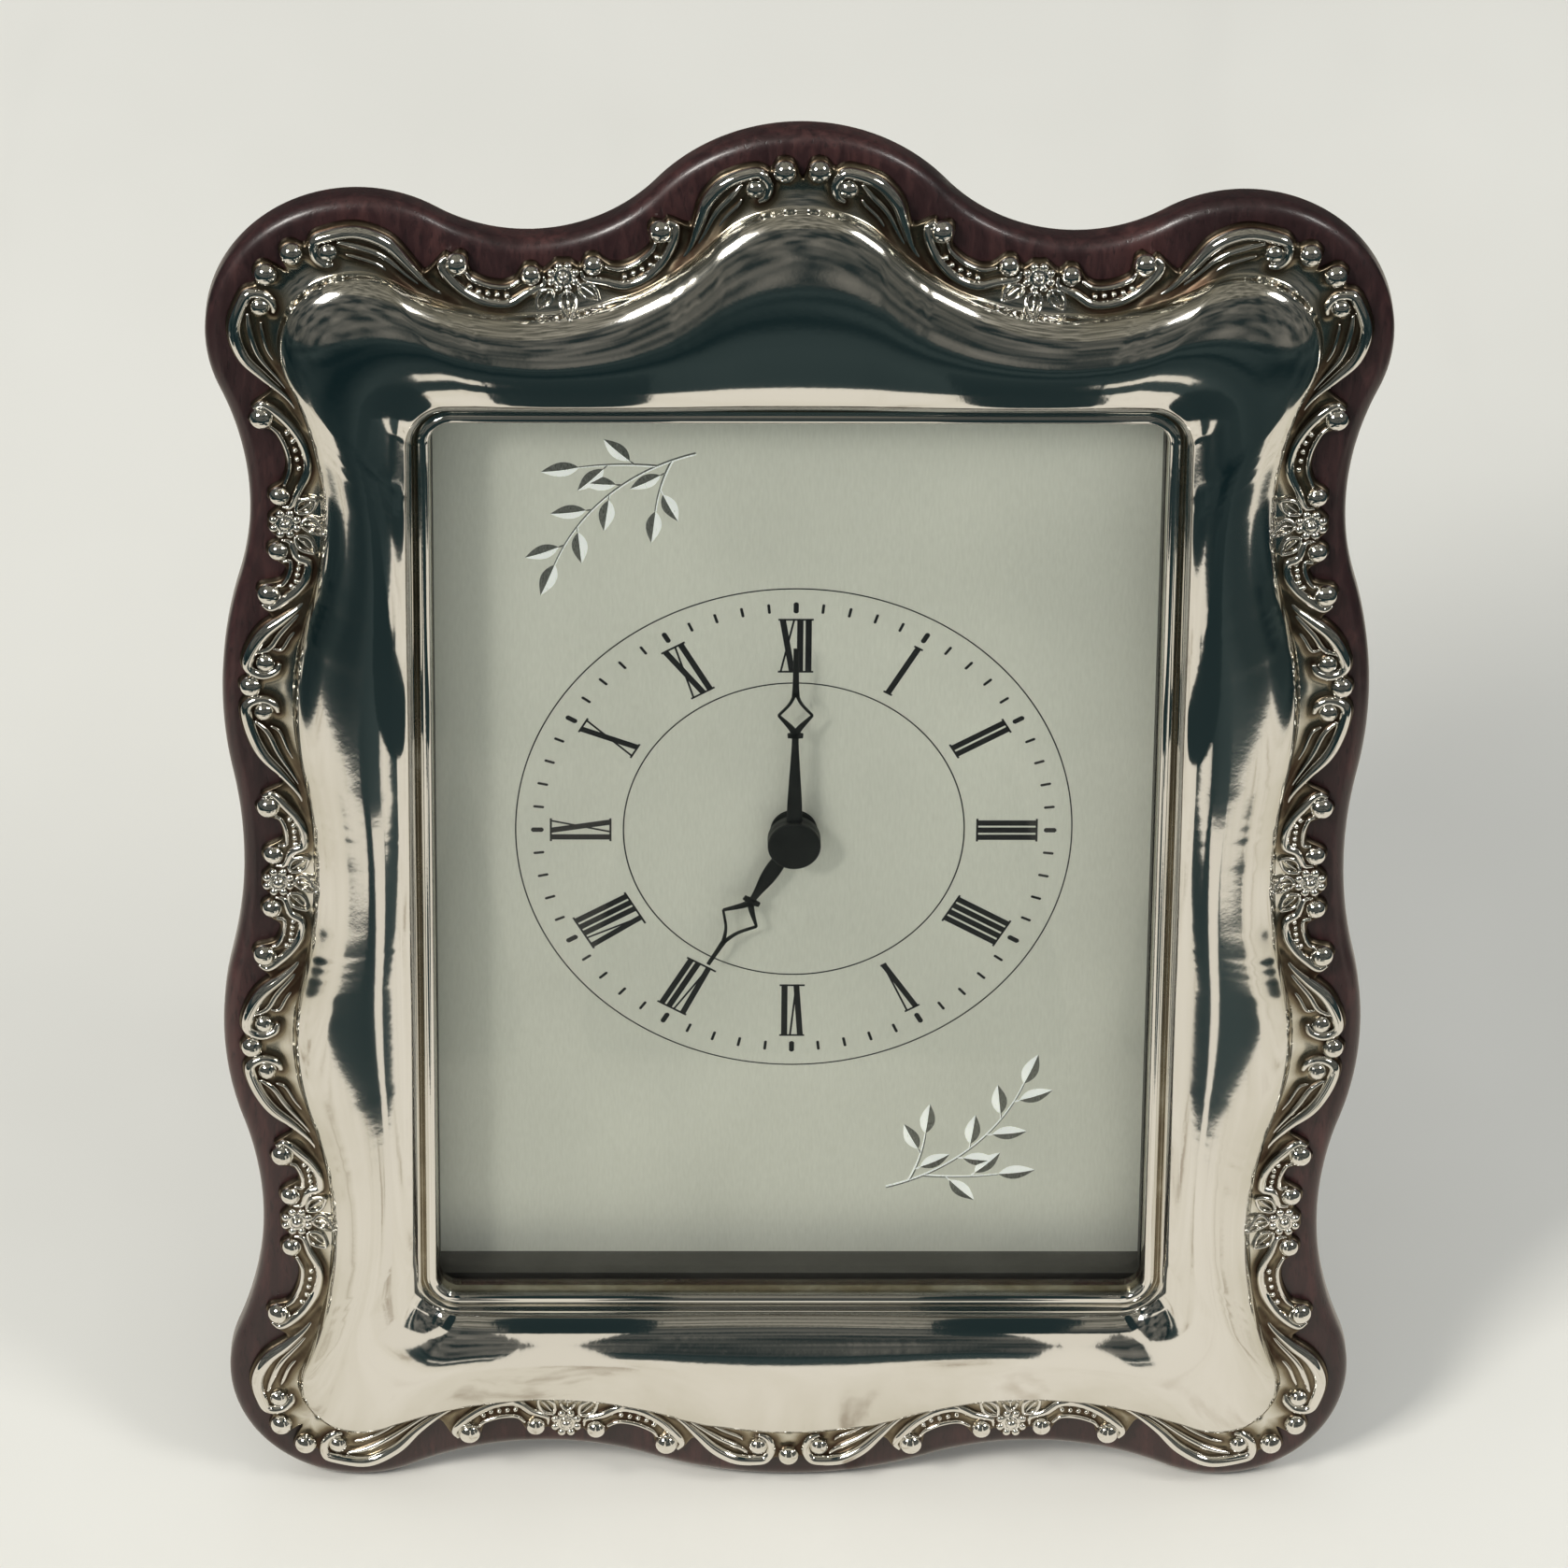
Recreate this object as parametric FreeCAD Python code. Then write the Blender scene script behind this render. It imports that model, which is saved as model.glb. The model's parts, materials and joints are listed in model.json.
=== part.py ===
import FreeCAD, Part
import math
import os

# A silver-faced frame clock that stands on a table, leaning back on an easel strut.
# It is built upright in its own face frame: x to the right, y from the viewer to the back,
# z up the face, with the centre of the dial at x = z = 0 and the front of the wooden board at
# y = 0. At the end everything leans back and is set down with its lowest face on z = 0.
# All lengths are millimetres, all angles degrees.

Vector = FreeCAD.Vector

# Serpentine outline of the board: each lobe is a circle given by how far it reaches, and each
# valley between two lobes is a circle that touches both
top_lobe_reach = 142.6
top_lobe_radius = 33.0
upper_corner_side_reach = 100.8
upper_corner_top_reach = 130.0
upper_corner_radius = 26.0
upper_bulge_reach = 99.2
upper_bulge_height = 33.0
upper_bulge_radius = 80.0
lower_bulge_reach = 100.3
lower_bulge_height = -35.0
lower_bulge_radius = 62.0
lower_corner_side_reach = 100.6
lower_corner_bottom_reach = 130.7
lower_corner_radius = 23.0
bottom_lobe_reach = lower_corner_bottom_reach
bottom_lobe_radius = 77.0
top_valley_radius = 29.5
upper_waist_radius = 55.0
middle_waist_radius = 90.0
lower_waist_radius = 65.0
bottom_valley_radius = 58.0

# Wooden front board
board_thickness = 6.0
front_arris_radius = 2.4
arris_steps = 2
base_flat_depth = 0.4
window_width = 125.4
window_height = 177.4
window_corner_radius = 3.7
sight_lip_depth = 2.0
rebate_ledge = 3.0
lean_angle = 12.0

# Pressed silver face
silver_margin = 3.4
silver_wall = 0.6
ledge_height = 1.5
ledge_width = 8.4
dome_height = 9.0
dome_rise_width = 7.0
dome_fall_width = 6.0
dome_steps = 3
flute_width = 2.4
flute_height = 2.6
lip_width = 3.6
lip_height = 4.2

# Embossed border: places are counted along the border, on the line of this inset
border_inset = 7.0
flower_inset = 6.1
flower_radius = 2.9
flower_petals = 8
petal_hollow_share = 0.72
button_share = 0.45
leaf_root_share = 0.8
leaf_length = 5.0
leaf_half_width = 1.5
leaf_spread = 45.0
bead_sides = 6
bead_top_share = 0.5
bead_height_share = 0.75
inner_bead_offset = 5.6
inner_bead_radius = 1.8
outer_bead_radius = 2.0
bead_inset = 5.5
scroll_sag = 5.2
scroll_half_width = 1.0
scroll_end_share = 0.4
ridge_height = 1.1
ridge_steps = 4
ribbon_tail_inset = 11.4
ribbon_head_inset = 5.4
ribbon_half_width = 1.3
ribbon_tail_share = 0.3
hook_radius = 1.9
free_bead_spacing = 2.8
corner_hook_offset = 8.3
bulge_hook_offset = 4.9
# Lobes of the bulges and of the foot carry one free bead, the others two
single_bead_lobes = (2, 3, 5, 7, 8)
# Flowers of the right half, clockwise: shift from the middle of the valley, then how far the
# scroll before and the scroll after the flower reach
border_units = ((-1.0, 19.5, 19.0), (6.5, 21.5, 14.5), (1.5, 15.5, 15.5), (-3.0, 14.5, 20.5),
                (7.0, 18.0, 19.0))

# Pieces stacked in the rebate
seat_gap = 0.2
glass_thickness = 2.0
spacer_depth = 7.0
dial_thickness = 0.6
dial_board_thickness = 5.0
back_panel_thickness = 3.0
box_wall = 12.0
movement_cutout_gap = 2.0

# Small round pieces are drawn with flat sides
pin_radius_limit = 1.2
pin_sides = 12
head_sides = 16

# Movement case and its fixing
case_size = 56.0
case_depth = 16.5
case_wall = 1.2
rubber_washer_thickness = 0.5
rubber_washer_radius = 9.0
bush_radius = 4.0
bush_stand = 0.4
bush_flange_radius = 5.5
fixing_nut_flats = 12.0
fixing_nut_corners = 6
nut_recess_gap = 0.5
fixing_nut_thickness = 2.0
fixing_washer_thickness = 0.5
fixing_washer_radius = 7.2
shaft_gap = 0.05
loose_gap = 0.1

# Arbors and hands
minute_arbor_radius = 1.6
hour_pipe_radius = 2.5
arbor_radius = 0.5
hour_hand_lift = 3.0
minute_hand_lift = 4.4
hand_thickness = 0.4
hub_radius = 4.65
hand_nut_radius = 2.6
hand_nut_height = 1.1
hand_nut_bore_share = 0.7
hand_nut_top_share = 0.5
hour_knob_reach = 14.7
hour_diamond_reach = 24.6
hour_hand_reach = 29.8
hour_diamond_half_width = 3.3
minute_knob_reach = 22.2
minute_diamond_reach = 30.9
minute_hand_reach = 39.4
minute_diamond_half_width = 2.8
hand_stem_half_width = 1.15
hand_knob_radius = 1.1
hand_strip_width = 0.55
diamond_knee_share = 0.39
tip_root_share = 1.5
hour_hand_angle = 210.0

# Gearing: tooth counts, with the distance between each pair of arbors
gear_thickness = 0.9
gear_level_gap = 0.4
tooth_addendum_share = 0.8
tooth_dedendum_share = 1.35
cannon_teeth = 12
motion_wheel_teeth = 36
motion_pinion_teeth = 10
hour_wheel_teeth = 40
setting_pinion_teeth = 12
motion_distance = 10.0
third_distance = 9.0
centre_wheel_teeth = 64
third_pinion_teeth = 8
third_wheel_teeth = 60
fourth_pinion_teeth = 8
fourth_wheel_teeth = 50
intermediate_pinion_teeth = 10
intermediate_wheel_teeth = 60
rotor_pinion_teeth = 10
intermediate_distance = 9.0
rotor_distance = 8.75
motion_bearing = 20.0
setting_bearing = 60.0
third_bearing = 180.0
intermediate_bearing = 80.0
rotor_bearing = 135.0
train_plate_thickness = 0.8

# Step motor
magnet_radius = 2.6
magnet_length = 2.2
stator_gap = 0.6
stator_thickness = 1.0
stator_arm_width = 2.6
coil_axis_height = 22.5
coil_centre = -4.0
coil_length = 22.0
coil_flange_radius = 2.9
coil_flange_thickness = 1.0
coil_core_radius = 1.8
winding_radius = 2.6
post_radius = 1.1

# Circuit board
circuit_width = 8.8
circuit_height = 16.0
circuit_thickness = 0.8
circuit_stand = 2.0
circuit_side_gap = 0.5
crystal_length = 5.4

# Battery and contacts
battery_radius = 7.1
battery_length = 49.4
battery_nub_radius = 2.7
battery_nub_length = 1.1
contact_thickness = 0.4
contact_width = 9.0

# Setting knob
knob_radius = 5.5
knob_height = 3.2
knob_flutes = 12
knob_valley_share = 0.93

# Easel strut and its hinge
strut_opening = 32.0
hinge_drop = 44.0
hinge_width = 30.0
hinge_knuckle_radius = 1.8
hinge_pin_radius = 0.8
hinge_leaf_thickness = 0.8
hinge_leaf_length = 11.0
hinge_middle_width = 10.0
strut_thickness = 5.0
strut_top_width = 36.0
strut_foot_width = 58.0
strut_edge_radius = 1.0
screw_head_radius = 2.2
screw_head_height = 0.9
screw_shank_radius = 1.1
screw_inset = 4.5

# Turn buttons on the back
button_length = 20.0
button_width = 8.0
button_thickness = 1.2
button_height = 62.0
button_end_steps = 6

# Cutting bodies reach this far past what they cut
overrun = 2.0

# Planes of the stack, from the front to the back
glass_front = sight_lip_depth
spacer_front = glass_front + glass_thickness
dial_front = spacer_front + spacer_depth
dial_board_front = dial_front + dial_thickness
panel_front = dial_board_front + dial_board_thickness
back_plane = panel_front + back_panel_thickness
case_front = panel_front + rubber_washer_thickness
case_back = case_front + case_depth
case_floor = case_front + case_wall
cover_front = case_back - case_wall

rebate_width = window_width + 2 * rebate_ledge
rebate_height = window_height + 2 * rebate_ledge

# Levels of the gear train, counted from the floor of the case
level_step = gear_thickness + gear_level_gap
hour_level = case_floor + gear_level_gap
motion_level = hour_level + level_step
train_plate_front = motion_level + level_step
train_plate_back = train_plate_front + train_plate_thickness
centre_level = train_plate_back + gear_level_gap
third_level = centre_level + level_step
fourth_level = third_level + level_step
intermediate_level = fourth_level + level_step
magnet_level = intermediate_level + level_step
battery_height = -case_size / 2 + case_wall + battery_radius + loose_gap
bay_top = battery_height + battery_radius + loose_gap

OUT = "parts"
shapes = {}


def polar(distance, bearing):
    """Point at a distance from the centre, its bearing turning from +x towards +z."""
    turn = math.radians(bearing)
    return distance * math.cos(turn), distance * math.sin(turn)


def box(x0, x1, y0, y1, z0, z1):
    return Part.makeBox(x1 - x0, y1 - y0, z1 - z0, Vector(x0, y0, z0))


def centred_box(width, height, y0, y1):
    return box(-width / 2, width / 2, y0, y1, -height / 2, height / 2)


def sided(x, z, radius, sides, y0, y1):
    """Regular prism from front to back, its corners on the radius."""
    points = []
    for side in range(sides):
        dx, dz = polar(radius, 360 * side / sides)
        points.append((x + dx, z + dz))
    return polygon_prism(points, y0, y1)


def rod(x, z, radius, y0, y1):
    if radius <= pin_radius_limit:
        return sided(x, z, radius, pin_sides, y0, y1)
    return Part.makeCylinder(radius, y1 - y0, Vector(x, y0, z), Vector(0, 1, 0))


def tube(x, z, radius, bore, y0, y1):
    return rod(x, z, radius, y0, y1).cut(rod(x, z, bore, y0 - overrun, y1 + overrun))


def cross_rod(y, z, radius, x0, x1):
    if radius <= pin_radius_limit:
        corners = []
        for side in range(pin_sides + 1):
            dy, dz = polar(radius, 360 * side / pin_sides)
            corners.append(Vector(x0, y + dy, z + dz))
        return Part.Face(Part.makePolygon(corners)).extrude(Vector(x1 - x0, 0, 0))
    return Part.makeCylinder(radius, x1 - x0, Vector(x0, y, z), Vector(1, 0, 0))


def prism(wire, depth):
    return Part.Face(wire).extrude(Vector(0, depth, 0))


def polygon_prism(points, y0, y1):
    corners = [Vector(x, y0, z) for x, z in points]
    return prism(Part.makePolygon(corners + corners[:1]), y1 - y0)


def joined(solids):
    first, rest = solids[0], solids[1:]
    return first.fuse(rest).removeSplitter() if rest else first


def rounded_rectangle(width, height, radius, y):
    """Closed wire with four rounded corners, in the plane of the face."""
    x, z = width / 2 - radius, height / 2 - radius
    edges = []
    for sx, sz, start in ((1, 1, 0), (-1, 1, 90), (-1, -1, 180), (1, -1, 270)):
        points = []
        for bearing in (start, start + 45, start + 90):
            dx, dz = polar(radius, bearing)
            points.append(Vector(sx * x + dx, y, sz * z + dz))
        if edges:
            edges.append(Part.LineSegment(edges[-1].lastVertex().Point, points[0]).toShape())
        edges.append(Part.Arc(*points).toShape())
    last, first = edges[-1].lastVertex().Point, edges[0].firstVertex().Point
    edges.append(Part.LineSegment(last, first).toShape())
    return Part.Wire(Part.__sortEdges__(edges))


def lobe_circles():
    """Centre and radius of every lobe, clockwise from the top of the board."""
    right = [
        (upper_corner_side_reach - upper_corner_radius, upper_corner_top_reach - upper_corner_radius,
         upper_corner_radius),
        (upper_bulge_reach - upper_bulge_radius, upper_bulge_height, upper_bulge_radius),
        (lower_bulge_reach - lower_bulge_radius, lower_bulge_height, lower_bulge_radius),
        (lower_corner_side_reach - lower_corner_radius, lower_corner_radius - lower_corner_bottom_reach,
         lower_corner_radius),
    ]
    left = [(-x, z, radius) for x, z, radius in reversed(right)]
    top = (0, top_lobe_reach - top_lobe_radius, top_lobe_radius)
    bottom = (0, bottom_lobe_radius - bottom_lobe_reach, bottom_lobe_radius)
    return [top] + right + [bottom] + left


def valley_centre(first, second, radius):
    """Centre of the circle outside the board that touches two neighbouring lobes."""
    reach_1, reach_2 = first[2] + radius, second[2] + radius
    dx, dz = second[0] - first[0], second[1] - first[1]
    gap = math.hypot(dx, dz)
    along = (reach_1 ** 2 - reach_2 ** 2 + gap ** 2) / (2 * gap)
    aside = math.sqrt(max(reach_1 ** 2 - along ** 2, 0))
    ux, uz = dx / gap, dz / gap
    return first[0] + ux * along - uz * aside, first[1] + uz * along + ux * aside


def valley_circles():
    """The valley after each lobe, in the same order as the lobes."""
    half = [top_valley_radius, upper_waist_radius, middle_waist_radius, lower_waist_radius,
            bottom_valley_radius]
    radii = half + half[::-1]
    lobes = lobe_circles()
    valleys = []
    for index, radius in enumerate(radii):
        x, z = valley_centre(lobes[index], lobes[(index + 1) % len(lobes)], radius)
        valleys.append((x, z, radius))
    return valleys


def arc_between(centre, radius, start, end, y):
    """The shorter arc of a circle between the bearings of two points."""
    x, z = centre
    first = math.atan2(start[1] - z, start[0] - x)
    last = math.atan2(end[1] - z, end[0] - x)
    turn = (last - first + math.pi) % (2 * math.pi) - math.pi
    points = []
    for share in (0, 0.5, 1):
        angle = first + share * turn
        points.append(Vector(x + radius * math.cos(angle), y, z + radius * math.sin(angle)))
    return Part.Arc(*points).toShape()


def serpentine(inset, y):
    """Closed outline of the board, drawn in by the inset, at depth y."""
    lobes, valleys = lobe_circles(), valley_circles()
    edges = []
    for index, lobe in enumerate(lobes):
        before, after = valleys[index - 1], valleys[index]
        following = lobes[(index + 1) % len(lobes)]
        edges.append(arc_between(lobe[:2], lobe[2] - inset, before[:2], after[:2], y))
        edges.append(arc_between(after[:2], after[2] + inset, lobe[:2], following[:2], y))
    return Part.Wire(edges)


def layered(make_wire, profile):
    """Closed solid through one wire for each (inset, depth) of the profile."""
    wires = [make_wire(inset, y) for inset, y in profile]
    return Part.makeLoft(wires, True, True)


def quarter_round(radius, steps):
    """Insets and depths of a rounded arris, from the front face to the full outline."""
    points = []
    for step in range(steps + 1):
        turn = math.radians(90 * step / steps)
        points.append((radius * (1 - math.sin(turn)), radius * (1 - math.cos(turn))))
    return points


def window_outline(outset, y):
    """Window outline spread outwards all round by the outset."""
    return rounded_rectangle(window_width + 2 * outset, window_height + 2 * outset,
                             window_corner_radius + outset, y)


def front_board():
    """Serpentine board with rounded arrises, the window and the rebate behind it."""
    front = quarter_round(front_arris_radius, arris_steps)
    board = layered(serpentine, front + [(0, board_thickness)])
    board = board.cut(centred_box(rebate_width, rebate_height, sight_lip_depth, board_thickness + overrun))
    return board.cut(prism(window_outline(0, -overrun), board_thickness + 2 * overrun))


def dome_profile(wall, steps):
    """Insets and depths of the rise from the ledge to the crest, drawn in by the wall."""
    start = silver_margin + ledge_width + wall
    rise = dome_height - ledge_height
    points = []
    for step in range(steps + 1):
        turn = math.radians(90 * step / steps)
        points.append((start + dome_rise_width * (1 - math.cos(turn)),
                       wall - ledge_height - rise * math.sin(turn)))
    return points


def funnel_profile(wall, steps):
    """Outsets from the window and depths of the fall from the crest to the flute by the lip."""
    start = lip_width + flute_width + wall
    fall = dome_height - flute_height
    points = []
    for step in range(steps + 1):
        turn = math.radians(90 * step / steps)
        points.append((start + dome_fall_width * (1 - math.cos(turn)),
                       wall - flute_height - fall * math.sin(turn)))
    return points


def border_arcs():
    """Arcs of the outline clockwise from the top lobe: (start, length, circle, side, bearing, turn)."""
    lobes, valleys = lobe_circles(), valley_circles()
    arcs, start = [], 0
    for index, lobe in enumerate(lobes):
        before, after = valleys[index - 1], valleys[index]
        following = lobes[(index + 1) % len(lobes)]
        for circle, side, first, last in ((lobe, 1, before, after), (after, -1, lobe, following)):
            bearing = math.atan2(first[1] - circle[1], first[0] - circle[0])
            end = math.atan2(last[1] - circle[1], last[0] - circle[0])
            turn = (end - bearing + math.pi) % (2 * math.pi) - math.pi
            length = abs(turn) * (circle[2] - side * border_inset)
            arcs.append((start, length, circle, side, bearing, turn))
            start += length
    return arcs


def border_place(arcs, along, inset):
    """Point (x, z) at a distance along the border, drawn in by the inset."""
    along = along % (arcs[-1][0] + arcs[-1][1])
    start, length, circle, side, bearing, turn = [arc for arc in arcs if arc[0] <= along][-1]
    angle = bearing + turn * (along - start) / length
    radius = circle[2] - side * inset
    return circle[0] + radius * math.cos(angle), circle[1] + radius * math.sin(angle)


def raised(x, z, radius):
    """Many-sided domed bead that stands on the ledge."""
    wires = []
    foot, top = silver_wall / 2 - ledge_height, -ledge_height - radius * bead_height_share
    for reach, y in ((radius, foot), (radius * bead_top_share, top)):
        corners = []
        for side in range(bead_sides + 1):
            dx, dz = polar(reach, 360 * side / bead_sides)
            corners.append(Vector(x + dx, y, z + dz))
        wires.append(Part.makePolygon(corners))
    return Part.makeLoft(wires, True, True)


def ridge(arcs, along, run, inset_at, half_at):
    """Raised band along the border; its inset and half width are formulas of the share of its run."""
    left, right = [], []
    for step in range(ridge_steps + 1):
        share = step / ridge_steps
        place = along + run * share
        left.append(border_place(arcs, place, inset_at(share) - half_at(share)))
        right.append(border_place(arcs, place, inset_at(share) + half_at(share)))
    return polygon_prism(left + right[::-1], -ledge_height - ridge_height, silver_wall / 2 - ledge_height)


def flower(arcs, along):
    """Flower of pointed petals round a button, with three leaves on its inner side."""
    x, z = border_place(arcs, along, flower_inset)
    inner_x, inner_z = border_place(arcs, along, flower_inset + flower_radius)
    heading = math.degrees(math.atan2(inner_z - z, inner_x - x))
    foot, top = silver_wall / 2 - ledge_height, -ledge_height - ridge_height
    petals = []
    for petal in range(flower_petals):
        for reach, shift in ((flower_radius, 0), (flower_radius * petal_hollow_share, 0.5)):
            dx, dz = polar(reach, heading + 360 * (petal + shift) / flower_petals)
            petals.append((x + dx, z + dz))
    pieces = [polygon_prism(petals, top, foot), raised(x, z, flower_radius * button_share)]
    for spread in (-leaf_spread, 0, leaf_spread):
        points = []
        for reach, aside in ((0, 0), (0.5, 1), (1, 0), (0.5, -1)):
            dx, dz = polar(flower_radius * leaf_root_share + leaf_length * reach, heading + spread)
            ax, az = polar(leaf_half_width * aside, heading + spread + 90)
            points.append((x + dx + ax, z + dz + az))
        pieces.append(polygon_prism(points, top, foot))
    return pieces


def scroll(arcs, along, side, reach):
    """C-scroll beside a flower: a bead at each end of a sagging ridge."""
    run = reach - inner_bead_offset
    start = along + side * inner_bead_offset
    arch = lambda share: math.sin(math.pi * share)
    return [raised(*border_place(arcs, start, bead_inset), inner_bead_radius),
            raised(*border_place(arcs, along + side * reach, bead_inset), outer_bead_radius),
            ridge(arcs, start, side * run, lambda share: bead_inset + scroll_sag * arch(share),
                  lambda share: scroll_half_width * (scroll_end_share + (1 - scroll_end_share) * arch(share)))]


def ribbon(arcs, tail, head):
    """Band from the foot of a scroll out to the hook by the lobe's middle."""
    fall = ribbon_tail_inset - ribbon_head_inset
    ease = lambda share: (1 - math.cos(math.pi * share)) / 2
    band = ridge(arcs, tail, head - tail, lambda share: ribbon_tail_inset - fall * ease(share),
                 lambda share: ribbon_half_width * (ribbon_tail_share + (1 - ribbon_tail_share) * ease(share)))
    return [band, raised(*border_place(arcs, head, ribbon_head_inset + hook_radius), hook_radius)]


def border_flowers(arcs):
    """Flowers clockwise from the top: (place, reach of the scroll before, reach of the one after)."""
    middles = [start + length / 2 for start, length, circle, side, bearing, turn in arcs if side < 0]
    right = []
    for middle, (shift, before, after) in zip(middles, border_units):
        right.append((middle + shift, before, after))
    total = arcs[-1][0] + arcs[-1][1]
    left = [(arcs[0][1] + total - place, after, before) for place, before, after in reversed(right)]
    return right + left


def border_ornament():
    """Flowers with their scrolls, and on each lobe two ribbons with free beads between them."""
    arcs = border_arcs()
    flowers = border_flowers(arcs)
    total = arcs[-1][0] + arcs[-1][1]
    pieces = []
    for place, before, after in flowers:
        pieces += flower(arcs, place)
        pieces += scroll(arcs, place, -1, before)
        pieces += scroll(arcs, place, 1, after)
    lobes = [start + length / 2 for start, length, circle, side, bearing, turn in arcs if side > 0]
    for index, middle in enumerate(lobes):
        place, before, after = flowers[index - 1]
        tail_before = place + after - (total if index == 0 else 0)
        place, before, after = flowers[index]
        tail_after = place - before
        narrow = index in single_bead_lobes
        hook = bulge_hook_offset if narrow else corner_hook_offset
        pieces += ribbon(arcs, tail_before, middle - hook)
        pieces += ribbon(arcs, tail_after, middle + hook)
        for offset in (0,) if narrow else (-free_bead_spacing, free_bead_spacing):
            pieces.append(raised(*border_place(arcs, middle + offset, bead_inset), outer_bead_radius))
    return pieces


def silver_face():
    """Thin pressed face: embossed border ledge, domed rail, flute and raised lip at the window."""
    ledge = layered(serpentine, [(silver_margin, 0), (silver_margin + ledge_height / 2, -ledge_height),
                                 (silver_margin + ledge_width, -ledge_height)])
    outer = ledge.fuse([layered(serpentine, dome_profile(0, dome_steps))] + border_ornament())
    hollow = layered(serpentine, [(silver_margin + silver_wall, overrun),
                                  (silver_margin + silver_wall, silver_wall - ledge_height)])
    hollow = hollow.fuse(layered(serpentine, dome_profile(silver_wall, 1)))
    lip_edge = lip_width - silver_wall
    funnel = layered(window_outline, funnel_profile(0, dome_steps))
    funnel = funnel.cut(prism(window_outline(lip_width, -lip_height), lip_height + overrun))
    core = layered(window_outline, funnel_profile(silver_wall, 1))
    core = core.fuse(prism(window_outline(lip_edge, -lip_height), lip_height + 2 * overrun))
    hollow = hollow.cut(core)
    opening = prism(window_outline(0, -dome_height - overrun), dome_height + 2 * overrun)
    return outer.cut(funnel).cut(opening).cut(hollow).removeSplitter()


def glass():
    width, height = rebate_width - 2 * seat_gap, rebate_height - 2 * seat_gap
    return centred_box(width, height, glass_front, spacer_front)


def spacers():
    """Four dark strips that hold the dial away from the glass."""
    x1, z1 = rebate_width / 2 - seat_gap, rebate_height / 2 - seat_gap
    x0, z0 = window_width / 2, window_height / 2
    ends = (spacer_front, dial_front)
    return {
        "spacer_top": box(-x1, x1, *ends, z0, z1),
        "spacer_bottom": box(-x1, x1, *ends, -z1, -z0),
        "spacer_left": box(-x1, -x0, *ends, -z0, z0),
        "spacer_right": box(x0, x1, *ends, -z0, z0),
    }


def stack_plate(y0, y1):
    return centred_box(rebate_width - 2 * seat_gap, rebate_height - 2 * seat_gap, y0, y1)


def dial_plate():
    hole = rod(0, 0, bush_radius + loose_gap, dial_front - overrun, dial_board_front + overrun)
    return stack_plate(dial_front, dial_board_front).cut(hole)


def nut_corner_radius():
    return fixing_nut_flats / 2 / math.cos(math.pi / fixing_nut_corners)


def nut_seat():
    """Depth of the floor of the recess that holds the washer and the nut."""
    return dial_board_front + fixing_nut_thickness + fixing_washer_thickness


def dial_board():
    board = stack_plate(dial_board_front, panel_front)
    board = board.cut(rod(0, 0, bush_radius + loose_gap, dial_front, panel_front + overrun))
    recess = max(nut_corner_radius() + nut_recess_gap, fixing_washer_radius + loose_gap)
    return board.cut(rod(0, 0, recess, dial_front, nut_seat()))


def box_walls():
    """Four strips of the hidden box behind the board, butted at the corners."""
    x0, z0 = rebate_width / 2, rebate_height / 2
    x1, z1 = x0 + box_wall, z0 + box_wall
    ends = (board_thickness, back_plane)
    return {
        "box_top": box(-x1, x1, *ends, z0, z1),
        "box_bottom": box(-x1, x1, *ends, -z1, -z0),
        "box_left": box(-x1, -x0, *ends, -z0, z0),
        "box_right": box(x0, x1, *ends, -z0, z0),
    }


def back_panel():
    cutout = case_size + 2 * movement_cutout_gap
    panel = stack_plate(panel_front, back_plane)
    panel = panel.cut(centred_box(cutout, cutout, panel_front - overrun, back_plane + overrun))
    for x, z in hinge_screw_places():
        panel = panel.cut(rod(x, z, screw_shank_radius, panel_front - overrun, back_plane + overrun))
    return panel


def gear_outline(teeth, module, phase):
    """Outline of pointed teeth, with a tooth at the phase bearing."""
    tip = module * (teeth / 2 + tooth_addendum_share)
    root = module * (teeth / 2 - tooth_dedendum_share)
    points = []
    for tooth in range(teeth):
        points.append(polar(tip, phase + 360 * tooth / teeth))
        points.append(polar(root, phase + 360 * (tooth + 0.5) / teeth))
    return points


def gear(teeth, module, place, phase, level):
    points = [(x + place[0], z + place[1]) for x, z in gear_outline(teeth, module, phase)]
    return polygon_prism(points, level, level + gear_thickness)


def module_of(distance, teeth_1, teeth_2):
    return 2 * distance / (teeth_1 + teeth_2)


def offset_place(start, distance, bearing):
    dx, dz = polar(distance, bearing)
    return start[0] + dx, start[1] + dz


def gap_phase(teeth, bearing):
    """Phase that puts a gap between teeth at the bearing."""
    return bearing + 180 / teeth


CENTRE = (0, 0)
MOTION = offset_place(CENTRE, motion_distance, motion_bearing)
SETTING = offset_place(MOTION, motion_distance, setting_bearing)
THIRD = offset_place(CENTRE, third_distance, third_bearing)
INTERMEDIATE = offset_place(CENTRE, intermediate_distance, intermediate_bearing)
ROTOR = offset_place(INTERMEDIATE, rotor_distance, rotor_bearing)


def arbor(place, y0, y1):
    return rod(*place, arbor_radius, y0, y1)


def drilled(solid, place, radius):
    return solid.cut(rod(*place, radius, case_front - overrun, case_back + overrun))


def minute_arbor():
    """Hollow arbor with the cannon pinion, from the train to the minute hand."""
    module = module_of(motion_distance, cannon_teeth, motion_wheel_teeth)
    pinion = gear(cannon_teeth, module, CENTRE, motion_bearing, motion_level)
    front = dial_front - minute_hand_lift - hand_nut_height
    shaft = rod(0, 0, minute_arbor_radius, front, centre_level + gear_thickness)
    bore_front = case_floor
    bore = rod(0, 0, arbor_radius + shaft_gap, bore_front, case_back)
    return joined([shaft, pinion]).cut(bore)


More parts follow.
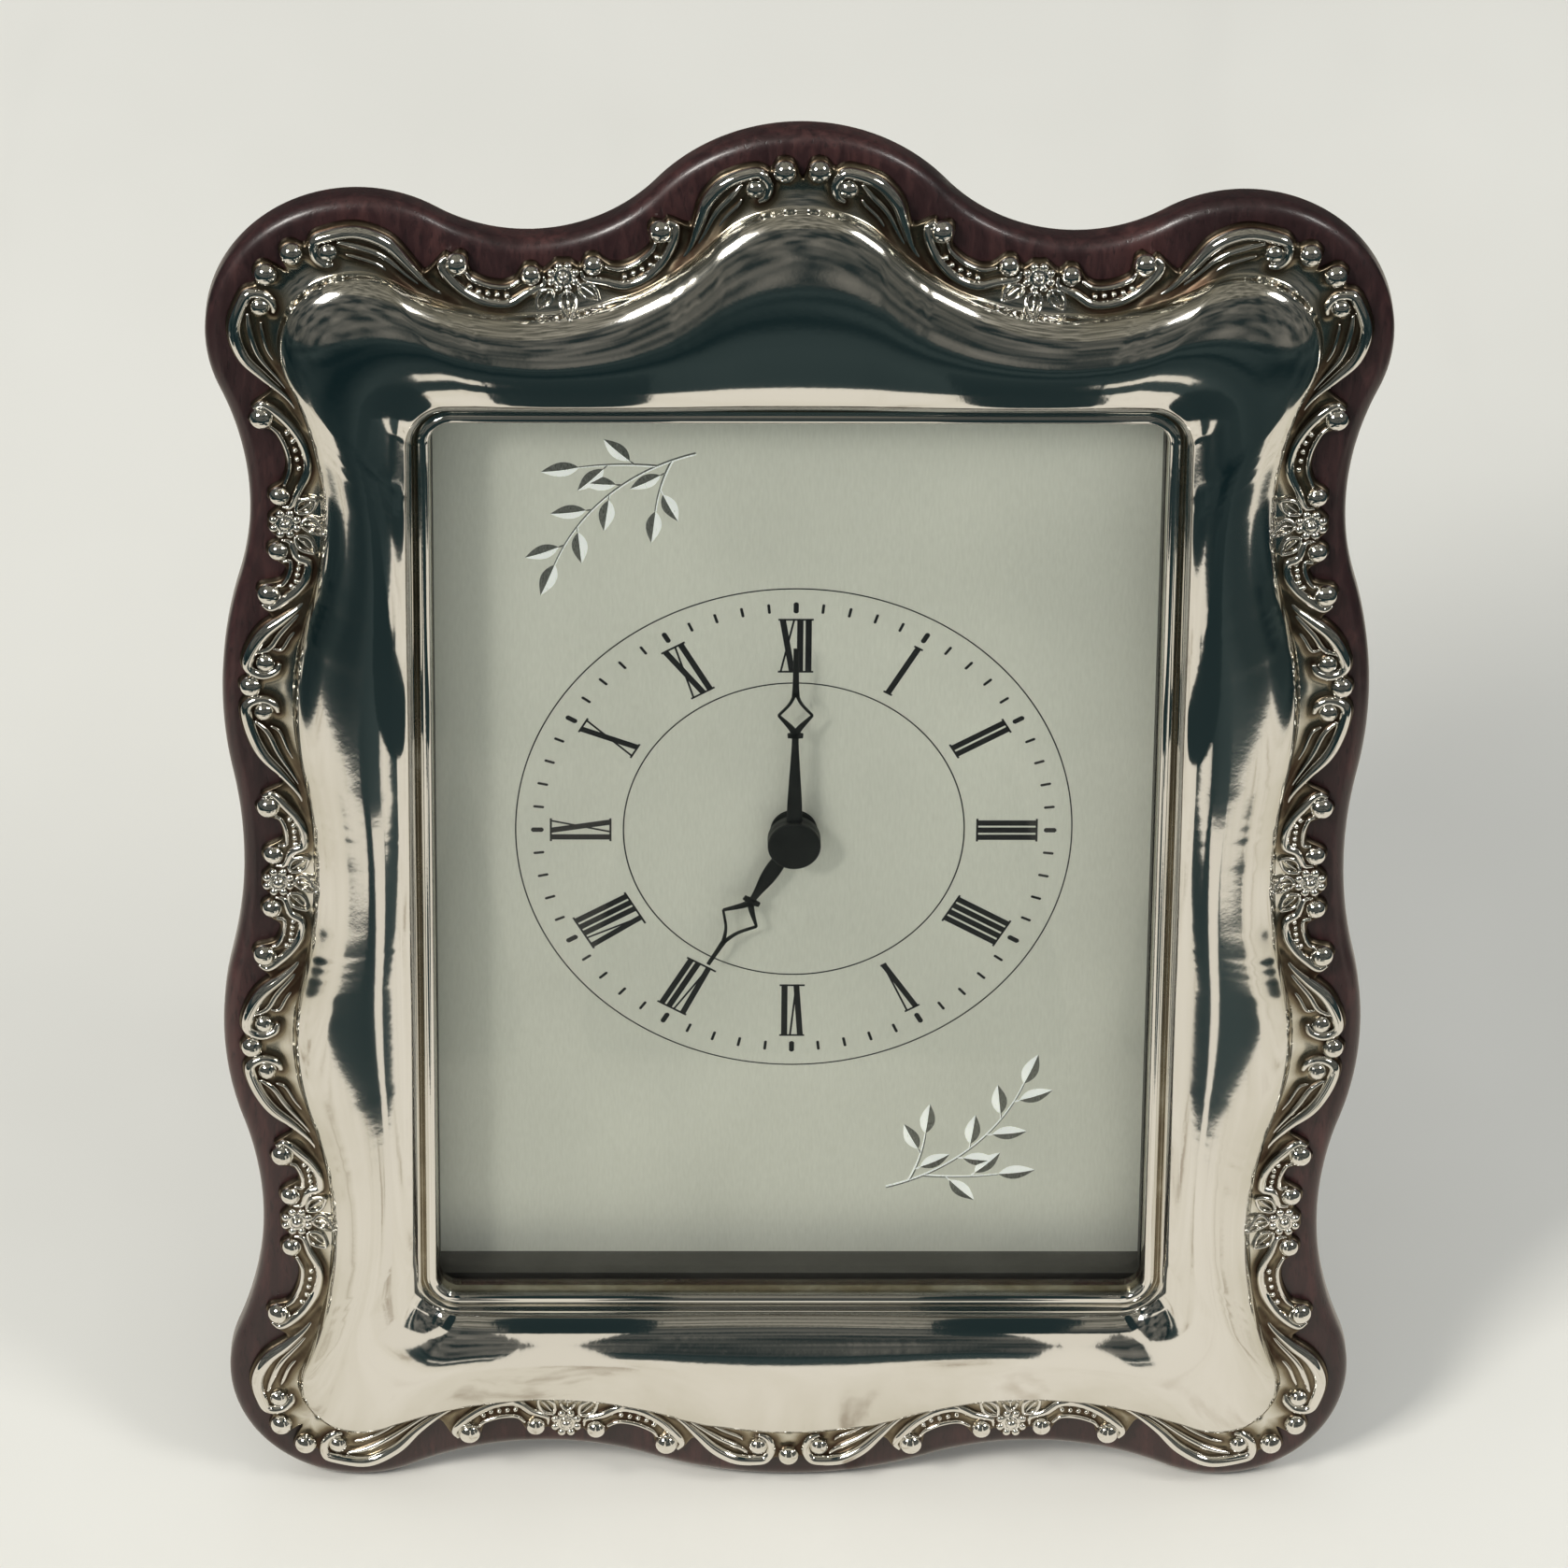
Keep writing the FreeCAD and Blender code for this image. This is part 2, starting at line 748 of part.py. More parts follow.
def hour_wheel():
    """Hour wheel with its pipe, which runs on the minute arbor and carries the hour hand."""
    module = module_of(motion_distance, motion_pinion_teeth, hour_wheel_teeth)
    phase = gap_phase(hour_wheel_teeth, motion_bearing)
    wheel = gear(hour_wheel_teeth, module, CENTRE, phase, hour_level)
    pipe = rod(0, 0, hour_pipe_radius, dial_front - hour_hand_lift - hand_thickness, hour_level)
    bore = rod(0, 0, minute_arbor_radius + shaft_gap, spacer_front, case_back)
    return joined([wheel, pipe]).cut(bore)


def motion_wheel():
    """Motion wheel and pinion between the minute arbor and the hour wheel."""
    back_bearing = motion_bearing + 180
    wheel_module = module_of(motion_distance, cannon_teeth, motion_wheel_teeth)
    pinion_module = module_of(motion_distance, motion_pinion_teeth, hour_wheel_teeth)
    wheel = gear(motion_wheel_teeth, wheel_module, MOTION, gap_phase(motion_wheel_teeth, back_bearing),
                 motion_level)
    pinion = gear(motion_pinion_teeth, pinion_module, MOTION, back_bearing, hour_level)
    return joined([wheel, pinion, arbor(MOTION, case_floor - case_wall / 2, train_plate_back)])


def setting_phase():
    """Phase of the setting pinion that meets the motion wheel's teeth."""
    step = 360 / motion_wheel_teeth
    wheel_phase = gap_phase(motion_wheel_teeth, motion_bearing + 180)
    from_tooth = (setting_bearing - wheel_phase) / step
    share = from_tooth - math.floor(from_tooth)
    return setting_bearing + 180 + 180 / setting_pinion_teeth + share * 360 / setting_pinion_teeth


def setting_knob():
    """Fluted knob behind the cover, its stem and the pinion on the motion wheel."""
    module = module_of(motion_distance, setting_pinion_teeth, motion_wheel_teeth)
    pinion = gear(setting_pinion_teeth, module, SETTING, setting_phase(), motion_level)
    stem = rod(*SETTING, 2 * arbor_radius, motion_level, case_back + loose_gap)
    rim = []
    for flute in range(knob_flutes):
        for reach, shift in ((knob_radius, 0), (knob_radius * knob_valley_share, 0.5)):
            rim.append(offset_place(SETTING, reach, 360 * (flute + shift) / knob_flutes))
    head = polygon_prism(rim, case_back + loose_gap, case_back + loose_gap + knob_height)
    pivot = arbor(SETTING, case_floor - case_wall / 2, motion_level)
    return joined([pinion, stem, head, pivot])


def centre_wheel():
    module = module_of(third_distance, third_pinion_teeth, centre_wheel_teeth)
    phase = gap_phase(centre_wheel_teeth, third_bearing)
    wheel = gear(centre_wheel_teeth, module, CENTRE, phase, centre_level)
    return drilled(wheel, CENTRE, minute_arbor_radius + shaft_gap)


def third_wheel():
    back_bearing = third_bearing + 180
    pinion_module = module_of(third_distance, third_pinion_teeth, centre_wheel_teeth)
    wheel_module = module_of(third_distance, fourth_pinion_teeth, third_wheel_teeth)
    pinion = gear(third_pinion_teeth, pinion_module, THIRD, back_bearing, centre_level)
    wheel = gear(third_wheel_teeth, wheel_module, THIRD, gap_phase(third_wheel_teeth, back_bearing),
                 third_level)
    return joined([pinion, wheel, arbor(THIRD, train_plate_front, cover_front + case_wall / 2)])


def fourth_wheel():
    pinion_module = module_of(third_distance, fourth_pinion_teeth, third_wheel_teeth)
    wheel_module = module_of(intermediate_distance, intermediate_pinion_teeth, fourth_wheel_teeth)
    pinion = gear(fourth_pinion_teeth, pinion_module, CENTRE, third_bearing, third_level)
    phase = gap_phase(fourth_wheel_teeth, intermediate_bearing)
    wheel = gear(fourth_wheel_teeth, wheel_module, CENTRE, phase, fourth_level)
    return joined([pinion, wheel, arbor(CENTRE, case_floor + loose_gap, cover_front + case_wall / 2)])


def intermediate_wheel():
    back_bearing = intermediate_bearing + 180
    pinion_module = module_of(intermediate_distance, intermediate_pinion_teeth, fourth_wheel_teeth)
    wheel_module = module_of(rotor_distance, rotor_pinion_teeth, intermediate_wheel_teeth)
    pinion = gear(intermediate_pinion_teeth, pinion_module, INTERMEDIATE, back_bearing, fourth_level)
    phase = gap_phase(intermediate_wheel_teeth, rotor_bearing)
    wheel = gear(intermediate_wheel_teeth, wheel_module, INTERMEDIATE, phase, intermediate_level)
    return joined([pinion, wheel, arbor(INTERMEDIATE, train_plate_front, cover_front + case_wall / 2)])


def rotor():
    module = module_of(rotor_distance, rotor_pinion_teeth, intermediate_wheel_teeth)
    pinion = gear(rotor_pinion_teeth, module, ROTOR, rotor_bearing + 180, intermediate_level)
    magnet = rod(*ROTOR, magnet_radius, magnet_level, magnet_level + magnet_length)
    return joined([pinion, magnet, arbor(ROTOR, train_plate_front, cover_front + case_wall / 2)])


def stator_front():
    return magnet_level + (magnet_length - stator_thickness) / 2


def coil_ends():
    return coil_centre - coil_length / 2 - stator_arm_width / 2, coil_centre + coil_length / 2 + stator_arm_width / 2


def stator():
    """Iron plate round the rotor magnet, with arms to the bar that carries the coil."""
    y0, y1 = stator_front(), stator_front() + stator_thickness
    left, right = coil_ends()
    half = stator_arm_width / 2
    ring_radius = magnet_radius + stator_gap + stator_arm_width / 2
    pieces = [rod(*ROTOR, ring_radius, y0, y1),
              box(left - half, right + half, y0, y1, coil_axis_height - half, coil_axis_height + half),
              box(left - half, left + half, y0, y1, ROTOR[1] - half, coil_axis_height),
              box(right - half, right + half, y0, y1, ROTOR[1] - half, coil_axis_height),
              box(left, right, y0, y1, ROTOR[1] - half, ROTOR[1] + half)]
    plate = joined(pieces)
    return plate.cut(rod(*ROTOR, magnet_radius + stator_gap, y0 - overrun, y1 + overrun))


def coil_axis_depth():
    return stator_front() + stator_thickness / 2


def coil_bobbin():
    """Plastic bobbin with two square flanges, pushed over the stator bar."""
    x0, x1 = coil_centre - coil_length / 2, coil_centre + coil_length / 2
    y, z = coil_axis_depth(), coil_axis_height
    square = (y - coil_flange_radius, y + coil_flange_radius, z - coil_flange_radius, z + coil_flange_radius)
    pieces = [cross_rod(y, z, coil_core_radius, x0, x1),
              box(x0, x0 + coil_flange_thickness, *square),
              box(x1 - coil_flange_thickness, x1, *square)]
    half_depth, half_height = stator_thickness / 2 + shaft_gap, stator_arm_width / 2 + shaft_gap
    bar = box(x0 - overrun, x1 + overrun, y - half_depth, y + half_depth, z - half_height, z + half_height)
    return joined(pieces).cut(bar)


def coil_winding():
    x0 = coil_centre - coil_length / 2 + coil_flange_thickness
    x1 = coil_centre + coil_length / 2 - coil_flange_thickness
    y, z = coil_axis_depth(), coil_axis_height
    wound = cross_rod(y, z, winding_radius, x0, x1)
    return wound.cut(cross_rod(y, z, coil_core_radius, x0 - overrun, x1 + overrun))


def circuit_box():
    x1 = case_size / 2 - case_wall - circuit_side_gap
    return x1 - circuit_width, x1, -circuit_height / 2, circuit_height / 2


def circuit_posts():
    x0, x1, z0, z1 = circuit_box()
    middle = (x0 + x1) / 2
    return [(middle, z0 + 2 * post_radius), (middle, z1 - 2 * post_radius)]


def circuit_board():
    """Small board with the time chip and the quartz crystal can."""
    x0, x1, z0, z1 = circuit_box()
    y0 = train_plate_back + circuit_stand
    y1 = y0 + circuit_thickness
    chip = box(x0 + post_radius, x1 - post_radius, y1, y1 + circuit_thickness, z0 + post_radius, -post_radius)
    foot = Vector((x0 + x1) / 2, y1 + post_radius / 2, post_radius)
    crystal = Part.makeCylinder(post_radius, crystal_length, foot, Vector(0, 0, 1))
    above = box(x0, x1, y0, y1 + 2 * post_radius, z0, z1)
    return joined([box(x0, x1, y0, y1, z0, z1), chip, crystal.common(above)])


def train_plate():
    """Plate between the motion work and the going train, with the posts of stator and circuit."""
    half = case_size / 2 - case_wall - loose_gap
    plate = box(-half, half, train_plate_front, train_plate_back, bay_top + case_wall + loose_gap, half)
    posts = []
    for x in coil_ends():
        posts.append(rod(x, coil_axis_height, post_radius, train_plate_back, stator_front()))
    for x, z in circuit_posts():
        posts.append(rod(x, z, post_radius, train_plate_back, train_plate_back + circuit_stand))
    plate = joined([plate] + posts)
    plate = drilled(plate, CENTRE, minute_arbor_radius + shaft_gap)
    for place in (MOTION, THIRD, INTERMEDIATE, ROTOR):
        plate = drilled(plate, place, arbor_radius + shaft_gap)
    return drilled(plate, SETTING, 2 * arbor_radius + shaft_gap)


def movement_case():
    """Moulded case: floor, walls, and the open bay for the battery below the train."""
    half, inner = case_size / 2, case_size / 2 - case_wall
    shell = centred_box(case_size, case_size, case_front, cover_front)
    lower = box(-half, half, case_front, case_back, -half, bay_top + case_wall)
    shell = shell.fuse(lower).removeSplitter()
    train_room = box(-inner, inner, case_floor, case_back + overrun, bay_top + case_wall, inner)
    bay = box(-inner, inner, case_floor, case_back + overrun, -inner, bay_top)
    shell = shell.cut(train_room).cut(bay)
    corner = (inner - 2 * post_radius, inner)
    for x0, x1 in (corner, (-corner[1], -corner[0])):
        for z0, z1 in (corner, (bay_top + case_wall, bay_top + case_wall + 2 * post_radius)):
            shell = shell.fuse(box(x0, x1, case_floor, train_plate_front, z0, z1))
    shell = shell.removeSplitter()
    shell = drilled(shell, CENTRE, bush_flange_radius + shaft_gap)
    for place in (MOTION, SETTING):
        shell = shell.cut(rod(*place, arbor_radius + shaft_gap, case_floor - case_wall / 2 - loose_gap,
                              case_floor + overrun))
    return shell


def movement_cover():
    """Rear cover over the train, with the hole of the setting knob."""
    half = case_size / 2
    cover = box(-half, half, cover_front, case_back, bay_top + case_wall, half)
    for place in (CENTRE, THIRD, INTERMEDIATE, ROTOR):
        deep = cover_front + case_wall / 2 + loose_gap
        cover = cover.cut(rod(*place, arbor_radius + shaft_gap, cover_front - overrun, deep))
    return drilled(cover, SETTING, 2 * arbor_radius + shaft_gap)


def fixing_bush():
    """Brass bush that carries the hour pipe and passes through board and dial."""
    front = dial_front - bush_stand
    pieces = [rod(0, 0, bush_radius, front, case_floor), rod(0, 0, bush_flange_radius, case_front, case_floor)]
    bore = rod(0, 0, hour_pipe_radius + shaft_gap, front - overrun, case_floor + overrun)
    return joined(pieces).cut(bore)


def fixing_nut():
    nut = sided(0, 0, nut_corner_radius(), fixing_nut_corners, dial_board_front,
                dial_board_front + fixing_nut_thickness)
    return nut.cut(rod(0, 0, bush_radius + shaft_gap, dial_front, case_front))


def fixing_washer():
    return tube(0, 0, fixing_washer_radius, bush_radius + loose_gap, nut_seat() - fixing_washer_thickness,
                nut_seat())


def rubber_washer():
    """Square pad between the board of the dial and the case."""
    pad = centred_box(2 * rubber_washer_radius, 2 * rubber_washer_radius, panel_front, case_front)
    return pad.cut(rod(0, 0, bush_radius + loose_gap, panel_front - overrun, case_front + overrun))


def battery():
    """Round cell lying across the bay, its nub to the right."""
    x0 = -(battery_length + battery_nub_length) / 2
    x1 = x0 + battery_length
    y = case_floor + battery_radius + loose_gap
    return joined([cross_rod(y, battery_height, battery_radius, x0, x1),
                   cross_rod(y, battery_height, battery_nub_radius, x1, x1 + battery_nub_length)])


def contacts():
    """Pressed contacts at the two ends of the battery bay."""
    y = case_floor + battery_radius + loose_gap
    wall = case_size / 2 - case_wall
    reach = (battery_length + battery_nub_length) / 2
    half = contact_width / 2
    plate = (y - half, y + half, battery_height - half, battery_height + half)
    positive = joined([box(wall - contact_thickness, wall, *plate),
                       cross_rod(y, battery_height, battery_nub_radius, reach, wall)])
    spring = Part.makeCone(half, battery_nub_radius, wall - reach, Vector(-wall, y, battery_height),
                           Vector(1, 0, 0))
    negative = joined([box(-wall, contact_thickness - wall, *plate), spring])
    return {"contact_positive": positive, "contact_negative": negative}


def diamond(near, far, half_width, inset):
    """Hollow-sided diamond between two radii on the z axis, drawn in by the inset."""
    middle = (near + far) / 2
    reach = (far - near) / 2 - 2 * inset
    half = half_width - inset
    points = []
    for sign_x, sign_z in ((1, 1), (1, -1), (-1, -1), (-1, 1)):
        knee = (sign_x * half * diamond_knee_share, middle + sign_z * reach * diamond_knee_share)
        if sign_x == sign_z:
            points += [(0, middle + sign_z * reach), knee]
        else:
            points += [(sign_x * half, middle), knee]
    return points


def hand(knob_reach, diamond_reach, reach, half_width, hole):
    """Flat pierced hand, lying in the plane y = 0 and pointing up."""
    stem_middle = (hub_radius + knob_reach) / 2
    waist_share = 0.45
    stem = Part.Wire([
        Part.Arc(Vector(0, 0, hub_radius / 2), Vector(hand_stem_half_width, 0, stem_middle),
                 Vector(hand_strip_width * waist_share, 0, knob_reach)).toShape(),
        Part.LineSegment(Vector(hand_strip_width * waist_share, 0, knob_reach),
                         Vector(-hand_strip_width * waist_share, 0, knob_reach)).toShape(),
        Part.Arc(Vector(-hand_strip_width * waist_share, 0, knob_reach),
                 Vector(-hand_stem_half_width, 0, stem_middle), Vector(0, 0, hub_radius / 2)).toShape()])
    tip_half = hand_strip_width / 2
    near = knob_reach + hand_knob_radius / 2
    pieces = [rod(0, 0, hub_radius, 0, hand_thickness),
              prism(stem, hand_thickness),
              rod(0, knob_reach, hand_knob_radius, 0, hand_thickness),
              polygon_prism(diamond(near, diamond_reach, half_width, 0), 0, hand_thickness)]
    root = diamond_reach - tip_root_share * hand_strip_width
    pieces.append(polygon_prism([(tip_half, root), (0, reach), (-tip_half, root)], 0, hand_thickness))
    body = joined(pieces)
    window = polygon_prism(diamond(near, diamond_reach, half_width, hand_strip_width), -overrun,
                           hand_thickness + overrun)
    return body.cut(window).cut(rod(0, 0, hole, -overrun, hand_thickness + overrun))


def placed_hand(shape, lift, clockwise):
    shape.rotate(Vector(0, 0, 0), Vector(0, 1, 0), clockwise)
    shape.translate(Vector(0, dial_front - lift - hand_thickness, 0))
    return shape


def hour_hand():
    flat = hand(hour_knob_reach, hour_diamond_reach, hour_hand_reach, hour_diamond_half_width,
                hour_pipe_radius)
    return placed_hand(flat, hour_hand_lift, hour_hand_angle)


def minute_hand():
    flat = hand(minute_knob_reach, minute_diamond_reach, minute_hand_reach, minute_diamond_half_width,
                minute_arbor_radius)
    return placed_hand(flat, minute_hand_lift, 0)


def hand_nut():
    """Small domed nut that holds the minute hand on its arbor."""
    seat = dial_front - minute_hand_lift - hand_thickness
    crown = Part.makeCone(hand_nut_radius, hand_nut_radius * hand_nut_top_share, hand_nut_height,
                          Vector(0, seat, 0), Vector(0, -1, 0))
    bore_front = seat - hand_nut_height * hand_nut_bore_share
    return crown.cut(rod(0, 0, minute_arbor_radius, bore_front, seat + overrun))


def hinge_depth():
    return back_plane + hinge_knuckle_radius + loose_gap


def leaf_screw_rows(sign):
    """Heights of the screws of one leaf, counted from the pin."""
    return sign * (hinge_leaf_length - screw_inset)


def hinge_screw_places():
    x = hinge_width / 2 - screw_inset
    z = -hinge_drop + leaf_screw_rows(1)
    return [(-x, z), (x, z)]


def strut_screw_places():
    x = hinge_width / 2 - screw_inset
    z = -hinge_drop + leaf_screw_rows(-1)
    return [(-x, z), (x, z)]


def knuckle(x0, x1):
    return cross_rod(hinge_depth(), -hinge_drop, hinge_knuckle_radius, x0, x1)


def hinge_fixed_leaf():
    """Leaf on the back panel, with the two outer knuckles."""
    half, middle = hinge_width / 2, hinge_middle_width / 2 + loose_gap
    z0, z1 = -hinge_drop, -hinge_drop + hinge_leaf_length
    leaf = box(-half, half, back_plane, back_plane + hinge_leaf_thickness, z0, z1)
    gap = cross_rod(hinge_depth(), -hinge_drop, hinge_knuckle_radius + 2 * loose_gap, -middle, middle)
    leaf = joined([leaf, knuckle(-half, -middle), knuckle(middle, half)]).cut(gap)
    leaf = leaf.cut(box(-middle, middle, back_plane - overrun, hinge_depth(), z0 - overrun,
                        z0 + hinge_knuckle_radius + 2 * loose_gap))
    leaf = leaf.cut(cross_rod(hinge_depth(), -hinge_drop, hinge_pin_radius, -half - overrun, half + overrun))
    for x, z in hinge_screw_places():
        leaf = leaf.cut(rod(x, z, screw_shank_radius, back_plane - overrun, case_back))
    return leaf


def leaf_front():
    """Front of the moving leaf when the strut is folded against the back."""
    return back_plane + 4 * loose_gap


def strut_front():
    return leaf_front() + hinge_leaf_thickness


def opened(shape):
    """Turn a piece of the strut, drawn folded, to its standing place."""
    shape.rotate(Vector(0, hinge_depth(), -hinge_drop), Vector(1, 0, 0), strut_opening)
    return shape


def hinge_moving_leaf():
    """Leaf on the strut, with the middle knuckle."""
    half, middle = hinge_width / 2, hinge_middle_width / 2
    clear = hinge_knuckle_radius + 3 * loose_gap
    z0, z1 = -hinge_drop - hinge_leaf_length, -hinge_drop
    leaf = box(-half, half, leaf_front(), strut_front(), z0, z1 - clear)
    tongue = box(-middle, middle, leaf_front(), strut_front(), z1 - clear - loose_gap, z1)
    leaf = joined([leaf, tongue, knuckle(-middle, middle)])
    leaf = leaf.cut(cross_rod(hinge_depth(), -hinge_drop, hinge_pin_radius + shaft_gap, -half, half))
    for x, z in strut_screw_places():
        leaf = leaf.cut(rod(x, z, screw_shank_radius, back_plane, case_back))
    return opened(leaf)


def hinge_pin():
    return cross_rod(hinge_depth(), -hinge_drop, hinge_pin_radius, -hinge_width / 2, hinge_width / 2)


def round_headed_screws(places, seat, length, towards):
    """Round-headed screws at the places, heads on the seat, shanks the other way."""
    screws = []
    for x, z in places:
        ends = sorted((seat, seat + towards * screw_head_height))
        head = sided(x, z, screw_head_radius, head_sides, *ends)
        ends = sorted((seat, seat - towards * length))
        screws.append(joined([head, rod(x, z, screw_shank_radius, *ends)]))
    return Part.makeCompound(screws)


def hinge_screws():
    length = hinge_leaf_thickness + back_panel_thickness
    return round_headed_screws(hinge_screw_places(), back_plane + hinge_leaf_thickness, length, 1)


def strut_screw_depth():
    return hinge_leaf_thickness + strut_thickness / 2


def strut_screws():
    """Flat-headed screws sunk flush into the moving leaf."""
    screws = []
    for x, z in strut_screw_places():
        screws.append(rod(x, z, screw_shank_radius, leaf_front(), leaf_front() + strut_screw_depth()))
    return opened(Part.makeCompound(screws))


def strut_top_height():
    return -hinge_drop - hinge_knuckle_radius - 3 * loose_gap


def strut_reach():
    """Distance down the strut from the pin to the floor."""
    lean = math.radians(lean_angle)
    opening = math.radians(strut_opening)
    pin_height = -hinge_depth() * math.sin(lean) - hinge_drop * math.cos(lean)
    return (pin_height - floor_height()) / math.cos(opening - lean)


def strut():
    """Wooden easel strut, widening to its foot, which is cut flat on the floor."""
    top, foot = strut_top_width / 2, strut_foot_width / 2
    z1 = strut_top_height()
    z0 = -hinge_drop - strut_reach()
    slope = (foot - top) / (z1 - z0)
    z_low = z0 - strut_thickness
    foot_low = foot + slope * strut_thickness
    points = [(-top, z1), (top, z1), (foot_low, z_low), (-foot_low, z_low)]
    body = polygon_prism(points, strut_front(), strut_front() + strut_thickness)
    edges = [edge for edge in body.Edges if is_long_rear_edge(edge)]
    body = body.makeFillet(strut_edge_radius, edges)
    for x, z in strut_screw_places():
        body = body.cut(rod(x, z, screw_shank_radius, back_plane, leaf_front() + strut_screw_depth()))
    return opened(body)


def is_long_rear_edge(edge):
    """True for the strut's two long edges on its rear face."""
    rear = strut_front() + strut_thickness
    ends = [vertex.Point for vertex in edge.Vertexes]
    on_rear = all(abs(point.y - rear) < shaft_gap for point in ends)
    return on_rear and abs(ends[0].z - ends[1].z) > strut_thickness


def button_places():
    x = rebate_width / 2 + box_wall / 2
    return {
        "turn_button_top_left": (-x, button_height, 0),
        "turn_button_top_right": (x, button_height, 180),
        "turn_button_bottom_left": (-x, -button_height, 0),
        "turn_button_bottom_right": (x, -button_height, 180),
    }


def turn_button(x, z, bearing):
    """Rounded brass button on its screw, lying over the edge of the back panel."""
    y0, y1 = back_plane + loose_gap, back_plane + loose_gap + button_thickness
    radius = button_width / 2
    far = offset_place((x, z), button_length - button_width, bearing)
    points = []
    for end, start in ((far, bearing - 90), ((x, z), bearing + 90)):
        for step in range(button_end_steps + 1):
            points.append(offset_place(end, radius, start + 180 * step / button_end_steps))
    body = polygon_prism(points, y0, y1)
    return body.cut(rod(x, z, screw_shank_radius + shaft_gap, y0 - overrun, y1 + overrun))


def turn_button_screws():
    places = [(x, z) for x, z, bearing in button_places().values()]
    seat = back_plane + 2 * loose_gap + button_thickness
    return round_headed_screws(places, seat, seat - back_plane + box_wall / 2, 1)


def drilled_box_walls():
    """The box strips with the holes of the turn buttons' screws."""
    walls = box_walls()
    for x, z, bearing in button_places().values():
        side = "box_left" if x < 0 else "box_right"
        walls[side] = walls[side].cut(rod(x, z, screw_shank_radius, back_plane - box_wall / 2,
                                          back_plane + overrun))
    return walls


def leaned(shape):
    """Lean a finished piece back on the board's lower edge."""
    shape.rotate(Vector(0, 0, 0), Vector(1, 0, 0), -lean_angle)
    return shape


def floor_height():
    """Height of the floor under the leaning board, in the leaning frame."""
    slab = layered(serpentine, [(0, front_arris_radius), (0, board_thickness)])
    return leaned(slab).BoundBox.ZMin + base_flat_depth


def floor_cut(shape):
    """Take off what lies below the floor."""
    side = 4 * top_lobe_reach
    floor = floor_height()
    below = box(-side, side, -side, side, floor - side, floor)
    return shape.cut(below)


def build():
    shapes["front_board"] = front_board()
    shapes["silver_face"] = silver_face()
    shapes["glass"] = glass()
    shapes.update(spacers())
    shapes["dial_plate"] = dial_plate()
    shapes["dial_board"] = dial_board()
    shapes.update(drilled_box_walls())
    shapes["back_panel"] = back_panel()
    shapes["movement_case"] = movement_case()
    shapes["movement_cover"] = movement_cover()
    shapes["train_plate"] = train_plate()
    shapes["fixing_bush"] = fixing_bush()
    shapes["fixing_nut"] = fixing_nut()
    shapes["fixing_washer"] = fixing_washer()
    shapes["rubber_washer"] = rubber_washer()
    shapes["minute_arbor"] = minute_arbor()
    shapes["hour_wheel"] = hour_wheel()
    shapes["motion_wheel"] = motion_wheel()
    shapes["setting_knob"] = setting_knob()
    shapes["centre_wheel"] = centre_wheel()
    shapes["third_wheel"] = third_wheel()
    shapes["fourth_wheel"] = fourth_wheel()
    shapes["intermediate_wheel"] = intermediate_wheel()
    shapes["rotor"] = rotor()
    shapes["stator"] = stator()
    shapes["coil_bobbin"] = coil_bobbin()
    shapes["coil_winding"] = coil_winding()
    shapes["circuit_board"] = circuit_board()
    shapes["battery"] = battery()
    shapes.update(contacts())
    shapes["hour_hand"] = hour_hand()
    shapes["minute_hand"] = minute_hand()
    shapes["hand_nut"] = hand_nut()
    shapes["hinge_fixed_leaf"] = hinge_fixed_leaf()
    shapes["hinge_moving_leaf"] = hinge_moving_leaf()
    shapes["hinge_pin"] = hinge_pin()
    shapes["hinge_screws"] = hinge_screws()
    shapes["strut_screws"] = strut_screws()
    shapes["strut"] = strut()
    shapes["turn_button_screws"] = turn_button_screws()
    for name, (x, z, bearing) in button_places().items():
        shapes[name] = turn_button(x, z, bearing)


def set_down():
    """Lean every piece back, cut the feet flat and bring the part over its origin."""
    bounds = FreeCAD.BoundBox()
    for name in shapes:
        shapes[name] = leaned(shapes[name])
        if name in ("front_board", "strut"):
            shapes[name] = floor_cut(shapes[name])
        bounds.add(shapes[name].BoundBox)
    shift = Vector(-bounds.Center.x, -bounds.Center.y, -floor_height())
    for shape in shapes.values():
        shape.translate(shift)
    return shift


build()
placing = set_down()
os.makedirs(OUT, exist_ok=True)
for node, shape in shapes.items():
    shape.exportStep(os.path.join(OUT, node + ".step"))
print(len(shapes), "nodes written")
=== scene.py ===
import json
import math

import bpy
import numpy as np
from mathutils import Matrix, Vector, kdtree


